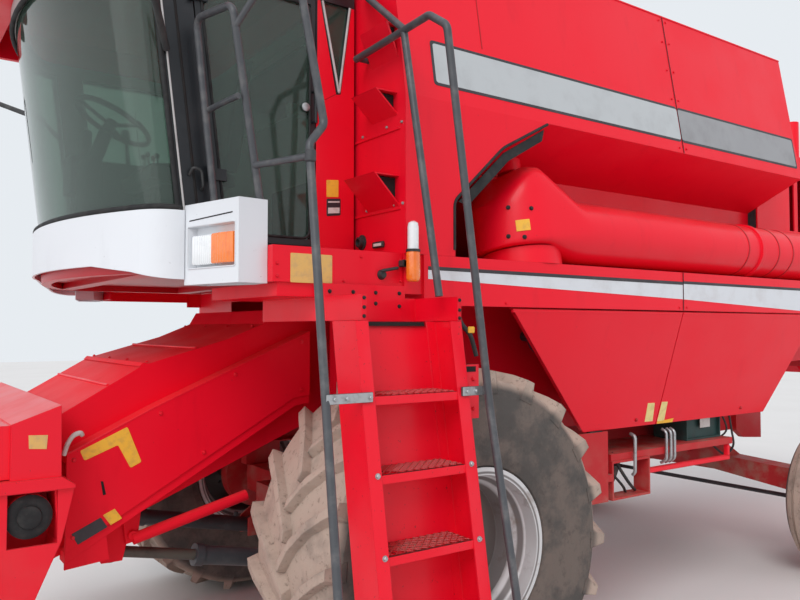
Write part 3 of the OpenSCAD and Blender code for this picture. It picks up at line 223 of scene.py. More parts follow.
def ladder_paint(name, color, faded):
    """The ladder's enamel: worn down to rust and dirt wherever feet tread."""
    f = Finish(name, color, 0.32, Coat_Weight=0.12, Coat_Roughness=0.15, Specular_IOR_Level=0.28)
    f.patches((3, 4), (0.45, 0.72), 0.6, faded)
    worn = f.math("MULTIPLY", f.up(), f.window(f.noise(26, 5, 0.7), 0.3, 0.52, 0.35, 1.0))
    f.cover(worn, (0.06, 0.018, 0.014))
    f.patches((60, 3, 0.7), (0.66, 0.72), 0.6, (0.12, 0.03, 0.02))
    f.roughness(f.noise(5, 4), 0.3, 0.5)
    f.bump(f.noise(260, 2), 0.12, 0.0004, 0.004)
    return f.m


def cab_shell(name, color):
    """Black outside, grey lining within the cab, and the machine's red under its floor."""
    f = Finish(name, color, 0.38)
    f.patches((9, 4), (0.45, 0.72), 0.5, (0.028, 0.029, 0.032))
    inner = f.math("MULTIPLY", f.window(f.math("ABSOLUTE", f.axis("Y"), 0.0), 0.926, 0.934, 1.0, 0.0),
                   f.window(f.axis("X"), AX + 0.314, AX + 0.322))
    f.cover(f.math("MULTIPLY", inner, f.window(f.axis("Z"), 2.09, 2.11)), (0.4, 0.41, 0.4))
    f.cover(f.window(f.axis("Z"), 2.055, 2.065, 1.0, 0.0), (0.55, 0.006, 0.016))
    f.bump(f.noise(200, 3), 0.2, 0.0004, 0.003)
    return f.m


def rubber_tyre(name, centre_z, tread, shoulder, x):
    """A used tyre: pale dried mud on the tread, dark brown grey walls with dusty patches."""
    f = Finish(name, (0.075, 0.066, 0.06), 0.85)
    r = f.radius(x + AX, centre_z)
    patch = f.noise(5, 5, 0.65)
    f.cover(f.window(patch, 0.4, 0.62, 0.0, 0.75), (0.165, 0.125, 0.105))
    f.patches((24, 5, 0.7), (0.5, 0.72), 0.55, (0.055, 0.045, 0.04))
    mud = f.math("MULTIPLY", f.window(r, shoulder, tread),
                 f.window(f.noise(7, 5, 0.6), 0.25, 0.55, 0.55, 1.0))
    f.cover(mud, (0.43, 0.325, 0.265))
    specks = f.math("MULTIPLY", f.window(r, shoulder, tread),
                    f.window(f.noise(30, 4, 0.7), 0.56, 0.7, 0.0, 0.7))
    f.cover(specks, (0.15, 0.11, 0.085))
    f.bump(f.math("ADD", f.noise(60, 5, 0.7), f.math("MULTIPLY", f.noise(11, 3), 1.5)), 0.5, 0.004, 0.006)
    return f.m


def rim_paint_and_shade(name, centre_z, x, rings, dish):
    """Silver rim: bright outer rings, with grey bands of painted shade between its steps, and dark with dirt
    and painted shade inside the dish.
    """
    f = Finish(name, (0.66, 0.66, 0.66), 0.38, 0.25)
    r = f.radius(x + AX, centre_z)
    # Painted shade: grey bands between the rim's bright steps
    for low, high in rings:
        band = f.math("MULTIPLY", f.window(r, low, low + 0.006), f.window(r, high - 0.006, high, 1.0, 0.0))
        f.cover(band, (0.2, 0.185, 0.18))
    # Dark inside the dish: dirt and painted shade
    f.cover(f.window(r, dish - 0.01, dish + 0.008, 0.92, 0.0), (0.115, 0.085, 0.075))
    f.patches((9, 5, 0.65), (0.52, 0.74), 0.6, (0.2, 0.14, 0.11))
    f.roughness(f.noise(6, 3), 0.3, 0.6)
    f.bump(f.noise(150, 3), 0.2, 0.001, 0.003)
    return f.m


def plain(name, color, rough, metal=0.0, other=None, scale=14.0, grain=0.0004, edge=0.0, **more):
    """A simpler finish with a second tone in patches, uneven gloss and a fine grain."""
    f = Finish(name, color, rough, metal, **more)
    f.patches((scale, 4, 0.6), (0.45, 0.72), 0.7, other or tuple(0.65 * c for c in color))
    f.roughness(f.noise(scale * 0.6, 3), rough, min(1.0, rough + 0.18))
    f.bump(f.noise(scale * 14, 3), 0.25, grain, edge)
    return f.m


def glass(name, tint):
    """Tinted glass under a thin uneven film of dust."""
    f = Finish(name, tint, 0.02, Transmission_Weight=0.88, IOR=1.45)
    film = f.window(f.noise(2.5, 4, 0.6), 0.4, 0.75, 0.02, 0.07)
    f.join(film, f.bsdf.inputs["Roughness"])
    return f.m


def cloth_weave(name, color):
    """A worn woven seat cloth."""
    f = Finish(name, color, 0.95, Sheen_Weight=0.5)
    wave = f.node("TexWave", bands_direction="DIAGONAL")
    wave.inputs["Scale"].default_value = 160
    f.join(f.place, wave.inputs["Vector"])
    f.patches((35, 4), (0.45, 0.7), 0.7, tuple(1.8 * c for c in color))
    f.bump(wave.outputs["Fac"], 0.35, 0.001)
    return f.m


RED = (0.84, 0.003, 0.02)
PLAIN = (  # key, name, colour, roughness, metal, second tone, size of its patches, grain, bevel of the edges
    ("rail_grey", "rail_coat", (0.06, 0.063, 0.07), 0.3, 0.0, (0.14, 0.135, 0.135), 12, 0.0003, 0.003),
    ("oily_steel", "oily_steel", (0.1, 0.085, 0.07), 0.35, 0.4, (0.045, 0.035, 0.03), 9, 0.0006),
    ("charcoal", "charcoal_coat", (0.038, 0.039, 0.044), 0.32, 0.0, (0.075, 0.072, 0.075), 8, 0.0003, 0.003),
    ("bare_steel", "worn_steel", (0.42, 0.39, 0.36), 0.42, 0.7, (0.22, 0.13, 0.08), 11, 0.0006, 0.002),
    ("black_plastic", "black_plastic", (0.022, 0.023, 0.024), 0.5, 0.0, (0.05, 0.048, 0.046), 18, 0.0005,
     0.003),
    ("engine_grey", "engine_cast", (0.13, 0.13, 0.14), 0.6, 0.2, (0.07, 0.06, 0.05), 9, 0.001, 0.004),
    ("seal", "rubber_seal", (0.012, 0.012, 0.013), 0.7, 0.0, (0.035, 0.032, 0.03), 25),
    ("pale_trim", "pale_trim", (0.52, 0.5, 0.49), 0.45, 0.0, (0.34, 0.32, 0.31), 16),
    ("zinc", "zinc_plate", (0.46, 0.47, 0.48), 0.36, 0.75, (0.26, 0.25, 0.24), 30, 0.0004),
    ("yellow", "yellow_sticker", (0.88, 0.47, 0.035), 0.5, 0.0, (0.62, 0.33, 0.06), 26),
    ("old_yellow", "faded_sticker", (0.74, 0.44, 0.13), 0.55, 0.0, (0.56, 0.34, 0.16), 30),
    ("pale_slash", "pale_sticker", (0.8, 0.66, 0.26), 0.5, 0.0, (0.66, 0.5, 0.2), 30),
    ("white_label", "white_label", (0.66, 0.64, 0.61), 0.55, 0.0, (0.5, 0.46, 0.42), 30),
    ("stripe_grey", "stripe_grey", (0.47, 0.49, 0.5), 0.35, 0.0, (0.4, 0.41, 0.42), 6),
    ("stripe_shade", "stripe_shade", (0.3, 0.3, 0.31), 0.35, 0.0, (0.24, 0.235, 0.24), 6),
    ("stripe_white", "stripe_white", (0.66, 0.68, 0.71), 0.32, 0.0, (0.55, 0.54, 0.55), 6),
    ("stripe_black", "stripe_black", (0.03, 0.027, 0.032), 0.4, 0.0, (0.06, 0.05, 0.055), 8),
    # Dark joints between sheets, and painted shade in holes, slots, grooves and scoops
    ("joint_and_painted_shade", "dark_joint_and_painted_shade", (0.01, 0.008, 0.008), 0.9, 0.0, (0.02, 0.014, 0.012), 20),
    ("hose", "hose_rubber", (0.02, 0.02, 0.021), 0.55, 0.0, (0.055, 0.045, 0.038), 22),
    ("straw", "straw_dust_steel", (0.4, 0.33, 0.22), 0.7, 0.3, (0.28, 0.2, 0.12), 12, 0.001),
)
M = {
    "red_paint": paint("red_enamel", RED, (0.82, 0.014, 0.034), 0.3, 0.16),
    "feeder_red": paint("feeder_enamel", RED, (0.82, 0.014, 0.034), 0.48, 0.06, shine=0.35),
    "ladder_red": ladder_paint("ladder_enamel", RED, (0.82, 0.02, 0.04)),
    "cab_shell": cab_shell("cab_shell", (0.011, 0.013, 0.016)),
    "dark_red_paint": paint("frame_red", (0.5, 0.01, 0.016), (0.4, 0.03, 0.03), 0.42, 0.85),
    "white_paint": paint("white_panels", (0.74, 0.76, 0.79), (0.66, 0.68, 0.71), 0.3, 0.18),
    "silver_paint": rim_paint_and_shade("front_rim_paint", FRONT_WHEEL_Z, 0.0, ((0.3, 0.322), (0.336, 0.352)), 0.288),
    "lens": plain("clear_lens", (0.82, 0.84, 0.85), 0.12, 0.0, (0.7, 0.72, 0.74), 20, Coat_Weight=1.0),
    "window": glass("tinted_window", (0.25, 0.36, 0.3)),
    "tread_rubber": rubber_tyre("front_tread", FRONT_WHEEL_Z, 0.745, 0.7, 0.0),
    "seat_fabric": cloth_weave("seat_cloth", (0.045, 0.046, 0.052)),
    "rear_rim": rim_paint_and_shade("rear_rim_paint", REAR_WHEEL_Z, REAR_WHEEL_X, ((0.215, 0.235),), 0.165),
    "rear_tread": rubber_tyre("rear_tread", REAR_WHEEL_Z, 0.515, 0.485, REAR_WHEEL_X),
    "amber": plain("amber_lens", (0.86, 0.2, 0.018), 0.15, 0.0, (0.72, 0.13, 0.01), 18, Coat_Weight=1.0,
        Emission_Color=(0.9, 0.16, 0.01, 1), Emission_Strength=0.1),
    "ruby": plain("ruby_lens", (0.52, 0.01, 0.01), 0.15, 0.0, (0.36, 0.006, 0.006), 18, Coat_Weight=1.0),
    "battery_green": plain("battery_case", (0.02, 0.06, 0.055), 0.45, 0.0, (0.035, 0.04, 0.04), edge=0.003),
    "mirror": Finish("mirror_glass", (0.82, 0.84, 0.86), 0.03, 1.0).m,
    "gauge": plain("monitor_face", (0.035, 0.065, 0.05), 0.2, 0.0, (0.02, 0.03, 0.03), 12, Coat_Weight=0.8),
}
M.update((key, plain(*row)) for key, *row in PLAIN)


# The record's slot of each finish; slot=None leaves a piece without one
SLOT_OF = {
    "seal": "black_plastic", "hose": "black_plastic", "black_plastic": "black_plastic",
    "red_paint": "red_paint", "dark_red_paint": "red_paint", "white_paint": "white_paint",
    "charcoal": "charcoal", "lens": "lens", "amber": "lens", "ruby": "lens",
    "zinc": "bare_steel", "bare_steel": "bare_steel",
}
slots = {s["node"]: s["material_slot"] for s in frame["record"]["subparts"]}
OTHER_FINISH = {  # solids whose finish isn't named like their slot
    "rear_wheel_left": "rear_rim", "rear_wheel_right": "rear_rim",
    "rear_tyre_left": "rear_tread", "rear_tyre_right": "rear_tread",
    "straw_walkers": "straw", "lift_rods": "oily_steel", "battery_box": "battery_green",
    "ladder": "ladder_red", "cab_frame": "cab_shell", "cab_door": "cab_shell", "handrails": "rail_grey",
    "feeder_house": "feeder_red",
}
for name, node in NODES.items():
    node.data.materials.clear()
    node.data.materials.append(M[OTHER_FINISH.get(name, slots[name])])


# Pieces

def add(name, data, mat, body="machine", slot="own"):
    """Makes a piece of a mesh or curve, gives it its finish and sets it on a body."""
    data.materials.append(M[mat])
    o = bpy.data.objects.new(name, data)
    bpy.context.scene.collection.objects.link(o)
    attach(o, body)
    slot = SLOT_OF.get(mat) if slot == "own" else slot
    return o


def add_mesh(name, bm, mat, body="machine", slot="own", smooth=False):
    """Makes a piece of a bmesh; a smooth one keeps its sharp edges."""
    bmesh.ops.recalc_face_normals(bm, faces=bm.faces)
    data = bpy.data.meshes.new(name)
    bm.to_mesh(data)
    bm.free()
    if smooth:
        for p in data.polygons:
            p.use_smooth = True
        data.set_sharp_from_angle(angle=radians(35))
    return add(name, data, mat, body, slot)


def rounded(corners, r, steps=4):
    """An outline with its corners rounded."""
    out = []
    n = len(corners)
    for i in range(n):
        a, c, b = corners[i - 1], corners[i], corners[(i + 1) % n]
        ra = min(r, (a - c).length * 0.45)
        rb = min(r, (b - c).length * 0.45)
        p, q = c + (a - c).normalized() * ra, c + (b - c).normalized() * rb
        for k in range(steps + 1):
            t = k / steps
            out.append((1 - t) ** 2 * p + 2 * t * (1 - t) * c + t * t * q)
    return out


def skin(bm, rings):
    """Faces between closed rings of vertices, and one over either end."""
    for a, b in zip(rings, rings[1:]):
        for i in range(len(a)):
            j = (i + 1) % len(a)
            bm.faces.new((a[i], a[j], b[j], b[i]))
    bm.faces.new(rings[-1])
    bm.faces.new(list(reversed(rings[0])))


def outline_normal(points):
    """The direction that a flat outline faces."""
    n = Vector((0, 0, 0))
    for i, p in enumerate(points):
        n += (p - points[0]).cross(points[(i + 1) % len(points)] - points[0])
    return n.normalized()


def add_plate(bm, points, thick, outward, lift=0.0006):
    """A thin plate with softened edges on a face, standing out along outward."""
    n = outline_normal(points)
    if n.dot(outward) < 0:
        n = -n
    middle = sum(points, Vector()) / len(points)
    rows = []
    for depth, share in ((0.0, 1.0), (thick * 0.7, 1.0), (thick, 0.985)):
        rows.append([bm.verts.new(middle + (p - middle) * share + n * (lift + depth)) for p in points])
    skin(bm, rows)


def plates(name, outlines, mat, body="machine", thick=0.0015, outward=LEFT, slot="own", round_by=0.0,
           lift=0.0006):
    """Thin plates or stickers in one piece, each given by its outline."""
    bm = bmesh.new()
    for points in outlines:
        points = [Vector(p) for p in points]
        add_plate(bm, rounded(points, round_by) if round_by else points, thick, Vector(outward), lift)
    return add_mesh(name, bm, mat, body, slot)


def add_turned(bm, foot, axis, profile, sides=24):
    """A turned form: profile holds (distance along the axis, radius) pairs from its foot to its top."""
    turn = Vector((0, 0, 1)).rotation_difference(Vector(axis)).to_matrix()
    rows = []
    for h, r in profile:
        ring = []
        for k in range(sides):
            a = 2 * pi * k / sides
            ring.append(bm.verts.new(Vector(foot) + turn @ Vector((r * cos(a), r * sin(a), h))))
        rows.append(ring)
    skin(bm, rows)


def turned(name, foot, axis, profile, mat, body="machine", sides=32, slot="own"):
    """One turned form as a piece of its own."""
    bm = bmesh.new()
    add_turned(bm, foot, axis, profile, sides)
    return add_mesh(name, bm, mat, body, slot, smooth=True)


def add_bolt(bm, foot, axis, size=0.009):
    """A washer with a hexagon head on it."""
    add_turned(bm, foot, axis, ((0.0, size * 1.25), (size * 0.22, size * 1.2)), 16)
    add_turned(bm, Vector(foot) + Vector(axis) * size * 0.2, axis,
               ((0.0, size * 0.92), (size * 0.75, size * 0.92), (size * 0.9, size * 0.72)), 6)


def bolts(name, places, axis, mat="zinc", body="machine", size=0.009, slot="own"):
    """Bolts in one piece, all facing along axis."""
    bm = bmesh.new()
    for p in places:
        add_bolt(bm, p, Vector(axis).normalized(), size)
    return add_mesh(name, bm, mat, body, slot)


def tube(name, points, r, mat, body="machine", slot="own", closed=False, bend=0.0):
    """A round tube or strand through points, with its corners bent."""
    points = [Vector(p) for p in points]
    if bend:
        if closed:
            points = rounded(points, bend)
        else:
            points = [points[0]] + rounded(points, bend)[5:-5] + [points[-1]]
    data = bpy.data.curves.new(name, "CURVE")
    data.dimensions = "3D"
    data.bevel_depth = r
    data.bevel_resolution = 3
    data.use_fill_caps = True
    spline = data.splines.new("POLY")
    spline.points.add(len(points) - 1)
    for s, p in zip(spline.points, points):
        s.co = (*p, 1)
    spline.use_cyclic_u = closed
    spline.use_smooth = True
    return add(name, data, mat, body, slot)


def add_block(bm, low, high, bevel=0.003):
    """A block with softened edges, from its lowest to its highest corner."""
    made = bmesh.ops.create_cube(bm, size=1.0)
    middle, size = (Vector(low) + Vector(high)) / 2, Vector(high) - Vector(low)
    for v in made["verts"]:
        v.co = middle + Vector((v.co.x * size.x, v.co.y * size.y, v.co.z * size.z))
    edges = list({e for v in made["verts"] for e in v.link_edges})
    bmesh.ops.bevel(bm, geom=edges, offset=bevel, segments=2, affect="EDGES", clamp_overlap=True)


def blocks(name, spans, mat, body="machine", bevel=0.003, slot="own"):
    """Blocks in one piece, each given by its lowest and highest corner."""
    bm = bmesh.new()
    for low, high in spans:
        add_block(bm, low, high, bevel)
    return add_mesh(name, bm, mat, body, slot, smooth=True)


def either(low, high, side):
    """A block's lowest and highest corner, given for the left side, on either side."""
    (x0, y0, z0), (x1, y1, z1) = low, high
    return at(x0, min(side * y0, side * y1), z0), at(x1, max(side * y0, side * y1), z1)


# Tank and body sides

def tank_wall(x, z, side):
    """A point on the tank's upper outer wall, which leans inwards."""
    y = PANEL_Y - (z - TANK_LOW) * (PANEL_Y - TANK_TOP_Y) / (TANK_TOP - TANK_LOW)
    return at(x, side * y, z)


def tank_patch(x0, x1, z0, z1, side):
    """The corners of a straight patch on the tank's wall."""
    return [tank_wall(x, z, side) for x, z in ((x0, z0), (x0, z1), (x1, z1), (x1, z0))]


BORDER = 0.014
# The two lengths of the tank's stripe: their ends, how far the grey stays off them, and its finish
STRIPES = ((0.12, -1.716, BORDER, 0.0, "stripe_grey"), (-1.728, -3.035, 0.0, BORDER, "stripe_shade"))
STRIPE_LOW, STRIPE_HIGH = 2.858, 3.074
BAND_LINE_Z = 2.03  # black line along the side bands, with white below it
BAND_FRONT, BAND_REAR = 0.165, -4.47
PANEL_JOINT = -1.695
FOLD_SCREWS = ((1.006, 2.664), (1.206, 2.668), (1.322, 2.668), (1.042, 2.31), (1.266, 2.31), (1.33, 2.31))
SCOOPS = ((2.302, 0.136, 0.132, 1.298), (2.706, 0.104, 0.116, 1.285),  # foot, height, reach, outer side
          (2.96, 0.152, 0.068, 1.292))


def white_edge(x):
    """Height of the lower edge of the band's white stripe, which widens to the rear."""
    return 1.984 + 0.038 * min(0.0, x + 0.39)


for end, s in SIDES:
    out = (0, s, 0.17)
    for number, (x0, x1, fore, aft, mat) in enumerate(STRIPES):
        plates(f"tank_stripe_border_{end}_{number}", [tank_patch(x0, x1, STRIPE_LOW, STRIPE_HIGH, s)],
               "stripe_black", thick=0.001, outward=out, round_by=0.02)
        plates(f"tank_stripe_{end}_{number}",
               [tank_patch(x0 - fore, x1 + aft, STRIPE_LOW + BORDER, STRIPE_HIGH - BORDER, s)],
               mat, thick=0.001, outward=out, round_by=0.014, lift=0.0012)
    # Joint between the tank's sheets and its screws
    plates(f"tank_joint_{end}", [tank_patch(-1.719, -1.725, TANK_LOW + 0.002, TANK_TOP, s)],
           "joint_and_painted_shade", thick=0.0008, outward=out, lift=0.0024)
    plates(f"tank_lap_{end}", [tank_patch(-0.198, -0.204, 3.1, TANK_TOP, s)],
           "dark_red_paint", thick=0.001, outward=out, slot=None)
    bolts(f"tank_screws_{end}",
          [tank_wall(x, z, s) for x in (-1.69, -1.755) for z in (2.82, 3.12, 3.3, 3.48, 3.62)],
          out, "red_paint", size=0.006)
    # Flanged upper edge
    tube(f"tank_rim_{end}", [tank_wall(0.282, TANK_TOP - 0.006, s), tank_wall(-3.057, TANK_TOP - 0.006, s)],
         0.006, "red_paint")

    # Black line and white stripe on the band
    face = s * PANEL_Y
    for number, (x0, x1) in enumerate(((BAND_FRONT, PANEL_JOINT + 0.003), (PANEL_JOINT - 0.003, BAND_REAR))):
        line_top = ((x0, BAND_LINE_Z + 0.01), (x1, BAND_LINE_Z + 0.006))
        line_low = ((x1, BAND_LINE_Z - 0.012), (x0, BAND_LINE_Z - 0.006))
        plates(f"band_line_{end}_{number}", [on_side(face, line_top + line_low)], "stripe_black",
               thick=0.0008, outward=(0, s, 0), lift=0.0016)
        white = ((x0, BAND_LINE_Z - 0.006), (x1, BAND_LINE_Z - 0.01), (x1, white_edge(x1)),
                 (x0, white_edge(x0)))
        plates(f"band_stripe_{end}_{number}", [on_side(face, white)], "stripe_white", thick=0.0008,
               outward=(0, s, 0))
    plates(f"band_joint_{end}",
           [on_side(face, rect(-1.692, 2.089, -1.698, 1.869))],
           "joint_and_painted_shade", thick=0.0006, outward=(0, s, 0), lift=0.0027)
    bolts(f"band_screws_{end}", [at(x, face, 1.886) for x in (0.12, -0.3, -1.66, -1.73, -3.2, -4.4)],
          (0, s, 0), "red_paint", size=0.006)

    # Small screws along the folds of the front wall
    bolts(f"front_wall_screws_{end}", on_front(FRONT_WALL - 0.005, FOLD_SCREWS, s), AHEAD, "zinc", size=0.006)
    # Painted shade: a dark sheet inside each scoop
    x = FRONT_WALL - 0.005
    plates(f"scoop_painted_shade_{end}",
           [on_side(s * (y - 0.03), ((x, z + 0.012), (x + reach * 0.82, z + h - 0.01), (x, z + h - 0.01)))
            for z, h, reach, y in SCOOPS], "joint_and_painted_shade", outward=(0, s, 0))

# Two small fittings on the front wall below
turned("wall_socket", at(0.285, 1.0, 2.168), AHEAD,
       ((0, 0.036), (0.004, 0.036), (0.006, 0.026), (0.024, 0.024), (0.026, 0.016), (0.01, 0.013)),
       "black_plastic")
blocks("wall_switch", [(at(0.286, 1.105, 2.13), at(0.3, 1.19, 2.158))], "black_plastic")
plates("wall_switch_face", [on_front(0.3, rect(1.12, 2.15, 1.182, 2.137))], "white_label", outward=AHEAD)

# Sticker, catch and screws on the floor's side beside the door
FASCIA_Y = 1.33
plates("fascia_sticker", [on_side(FASCIA_Y, rect(0.64, 2.063, 0.828, 1.947))], "old_yellow", round_by=0.005)
tube("fascia_catch", [at(0.405, FASCIA_Y, 2.006), at(0.405, 1.352, 2.01), at(0.33, 1.352, 2.024),
                      at(0.318, 1.331, 2.026)], 0.007, "black_plastic", bend=0.01, slot=None)
turned("fascia_catch_boss", at(0.398, 1.3302, 1.994), LEFT, ((0, 0.022), (0.006, 0.02), (0.018, 0.014)),
       "black_plastic", slot=None)
FASCIA_SCREWS = ((0.885, 2.02), (0.885, 1.97), (0.5, 2.065), (0.3, 2.06), (0.3, 1.97), (0.585, 1.962))
bolts("fascia_screws", on_side(FASCIA_Y, FASCIA_SCREWS), LEFT, "red_paint", size=0.006)

# Auger

HOUSING_FOOT = at(-0.6, 1.14, 2.15)
TILT = radians(10)


def from_pivot(x, y, z):
    """A point given along and round the elbow's tilted axis."""
    return HOUSING_FOOT + Vector((x, y * cos(TILT) - z * sin(TILT), y * sin(TILT) + z * cos(TILT)))


TUBE_R, TUBE_Y, TUBE_Z, TUBE_END = 0.165, 1.22, 2.27, -4.65
AROUND = [2 * pi * k / 56 for k in range(56)]
ELBOW_R = 0.248


def squared(c, n):
    """Pushes a cosine or sine outwards, so that a circle becomes a rounded square."""
    return copysign(abs(c) ** (2 / n), c)


def elbow_section(x, half, top):
    """One slice of the elbow: square at its foot, rounded over its roof."""
    waist = 0.003 + 0.45 * (top - 0.003)
    out = []
    for t in AROUND:
        c, v = cos(t), sin(t)
        n, reach = (4, top - waist) if v > 0 else (14, waist - 0.003)
        out.append(from_pivot(x, half * squared(c, n), waist + reach * squared(v, n)))
    return out


bm = bmesh.new()
ELBOW = ((6, 0.232), (16, 0.238), (28, 0.256), (42, 0.3), (56, 0.356), (68, 0.405), (79, 0.43), (90, 0.434))
rows = [elbow_section(ELBOW_R * cos(radians(turn)), ELBOW_R * sin(radians(turn)), top) for turn, top in ELBOW]
ring = [Vector((0, TUBE_Y + TUBE_R * cos(t), TUBE_Z + TUBE_R * sin(t))) for t in AROUND]
last = rows[-1]
for share, x in ((0.2, -0.655), (0.44, -0.715), (0.68, -0.775), (0.87, -0.825), (0.97, -0.87), (1.0, -0.93)):
    rows.append([at(x, p.y + (q.y - p.y) * share, p.z + (q.z - p.z) * share) for p, q in zip(last, ring)])
rows.append([at(TUBE_END, q.y, q.z) for q in ring])
rows = [[bm.verts.new(p) for p in row] for row in rows]
skin(bm, rows)
for x in (-2.48, -4.3):
    add_turned(bm, at(x, TUBE_Y, TUBE_Z), (-1, 0, 0),
               ((0, 0.164), (0.002, 0.177), (0.038, 0.177), (0.04, 0.164)), 56)
SPOUT_AT = at(-4.59, TUBE_Y, TUBE_Z)
SPOUT_AXIS = Vector((-sin(radians(140)), 0, cos(radians(140))))
add_turned(bm, SPOUT_AT, SPOUT_AXIS, ((0, 0.164), (0.33, 0.164), (0.33, 0.159), (0.02, 0.159)), 56)
unloader = add_mesh("unloading_auger", bm, "red_paint", "auger", smooth=True)
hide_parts("auger_tube")


def on_elbow(t, z, proud=0.0004):
    """A point on the elbow's front half, turned t degrees from ahead towards the left side."""
    r = ELBOW_R + proud
    return from_pivot(r * cos(radians(t)), r * sin(radians(t)), z)


def round_patch(name, t0, t1, z0, z1, mat, body):
    """A sticker bent round the elbow, between two turns and two heights."""
    bm = bmesh.new()
    section = ((z0, 0.0005), (z0, 0.0022), (z1, 0.0022), (z1, 0.0005))
    skin(bm, [[bm.verts.new(on_elbow(t0 + (t1 - t0) * k / 8, z, proud)) for z, proud in section]
              for k in range(9)])
    add_mesh(name, bm, mat, body)


round_patch("elbow_sticker", 44, 60, 0.062, 0.118, "yellow", "auger")
for number, (t, z) in enumerate(((38, 0.19), (64, 0.172), (34, 0.045), (52, 0.03))):
    foot = on_elbow(t, z)
    bolts(f"elbow_screw_{number}", [foot], foot - from_pivot(0, 0, z), "seal", "auger", 0.009)
for number, x in enumerate((-2.336, -2.691, -2.866, -3.9)):
    turned(f"tube_band_{number}", at(x, TUBE_Y, TUBE_Z), (-1, 0, 0),
           ((0, 0.1655), (0.001, 0.1685), (0.011, 0.1685), (0.012, 0.1655)), "dark_red_paint", "auger", 64)
# Rubber sleeve at the end of the spout
turned("spout_ring", SPOUT_AT + SPOUT_AXIS * 0.285, SPOUT_AXIS,
       ((0, 0.1645), (0.002, 0.17), (0.03, 0.17), (0.032, 0.1645)), "seal", "auger", 48)
# Rubber strips along the slanting mouth in the tank's side
MOUTH = ((0.01, 2.12), (0.01, 2.343), (-0.29, 2.625), (-0.592, 2.785))
tube("mouth_seal", [at(x + 0.004, 1.35, z) for x, z in MOUTH], 0.007, "seal", bend=0.03)
FLAP = ((-0.02, 2.345), (-0.3, 2.606), (-0.575, 2.76), (-0.56, 2.7), (-0.33, 2.57), (-0.075, 2.33))
plates("mouth_flap", [on_side(1.34, FLAP)], "seal", outward=(0, -1, 0), thick=0.006)

# Cab

def cab_edge(a, z, grow=0.0):
    """A point on the windscreen's outline at angle a round its big circle or its corner, at height z."""
    r = 1.835
    corner_r = 0.15
    corner_y = CAB_Y - corner_r
    centre_x = -0.35
    corner_x = centre_x + sqrt((r - corner_r) ** 2 - corner_y ** 2)
    turn_at = asin(corner_y / (r - corner_r))
    side = 1 if a >= 0 else -1
    if abs(a) <= turn_at:
        x, y = centre_x + (r + grow) * cos(a), (r + grow) * sin(a)
    else:
        x = corner_x + (corner_r + grow) * cos(a)
        y = side * corner_y + (corner_r + grow) * sin(a)
    return at(x + (z - GLASS_LOW) * LEAN, y, z)


ROUND = [radians(a) for a in list(range(-90, -28, 6)) + list(range(-27, 28, 3)) + list(range(30, 91, 6))]
PILLAR = 1.133  # the windscreen's edge beside the pillar, at the glass's foot
TOP_Z = 3.288
tube("windscreen_foot_seal", [cab_edge(a, GLASS_LOW + 0.012, 0.003) for a in ROUND], 0.012, "seal")
tube("windscreen_head_seal", [cab_edge(a, 3.286, 0.003) for a in ROUND], 0.012, "seal")


def pillar_point(z, back, y):
    """A point on the leaning pillar, so far behind the windscreen's edge."""
    return at(PILLAR + (z - GLASS_LOW) * LEAN - back, y, z)


for end, s in SIDES:
    y = s * (CAB_Y + 0.001)
    tube(f"pillar_seal_{end}", [pillar_point(z, -0.012, y) for z in (GLASS_LOW, TOP_Z)], 0.011, "seal")
    tube(f"pillar_trim_{end}", [pillar_point(z, 0.012, y + s * 0.002) for z in (GLASS_LOW, TOP_Z)], 0.0045,
         "pale_trim")
    # The groove beside the pillar is a dark strip of painted shade
    tube(f"pillar_groove_{end}", [pillar_point(z, 0.07, y - s * 0.002) for z in (GLASS_LOW, TOP_Z)], 0.006,
         "joint_and_painted_shade")
    vee = on_side(s * (CAB_Y + 0.001), ((0.326, 3.288), (0.384, 2.868), (0.474, 3.288)))
    tube(f"quarter_seal_{end}", vee, 0.006, "pale_trim", bend=0.012)
    # Painted strip between the door frame and the quarter window
    strip = on_side(s * CAB_Y, ((0.4005, 2.862), (0.501, 2.8), (0.501, 3.292), (0.487, 3.292)))
    plates(f"quarter_strip_{end}", [strip], "red_paint", outward=(0, s, 0))
# Red panel of the cab's rear corners, and the blank stickers on the left one
for end, s in SIDES:
    corner = on_side(s * CAB_Y, ((0.301, 2.096), (0.506, 2.096), (0.506, 2.796), (0.4005, 2.86),
                                 (0.384, 2.862), (0.376, 2.866), (0.318, 3.288), (0.301, 3.288)))
    plates(f"quarter_panel_{end}", [corner], "red_paint", outward=(0, s, 0))
STICKER_Y = CAB_Y + 0.0016  # on the corner's red sheet
STICKER = ((0.451, 2.452), (0.387, 2.459), (0.387, 2.379), (0.45, 2.373))
LABEL = ((0.45, 2.366), (0.375, 2.373), (0.375, 2.294), (0.45, 2.284))
plates("corner_sticker", [on_side(STICKER_Y, STICKER)], "yellow", round_by=0.004)
plates("corner_label_black", [on_side(STICKER_Y, LABEL)], "stripe_black", round_by=0.008)
plates("corner_label_white",
       [on_side(STICKER_Y, ((0.443, 2.324), (0.382, 2.33), (0.382, 2.304), (0.443, 2.297))),
        on_side(STICKER_Y, ((0.443, 2.354), (0.382, 2.36), (0.382, 2.353), (0.443, 2.347)))],
       "white_label", lift=0.0023)
plates("right_window_seal", [on_side(-CAB_Y, ((0.505, 2.135), (0.968, 2.135), (0.966, 2.15), (0.52, 2.15)))],
       "seal", outward=(0, -1, 0))
WINDOW_LINE = ((0.507, 2.138), (0.966, 2.138), (1.111, 3.287), (0.507, 3.287))
tube("right_window_rubber", on_side(-CAB_Y - 0.001, WINDOW_LINE), 0.008, "seal", closed=True, bend=0.03)
tube("rear_window_rubber", on_front(0.299, rect(-0.6, 2.9, 0.6, 3.25)), 0.008, "seal", closed=True, bend=0.03)
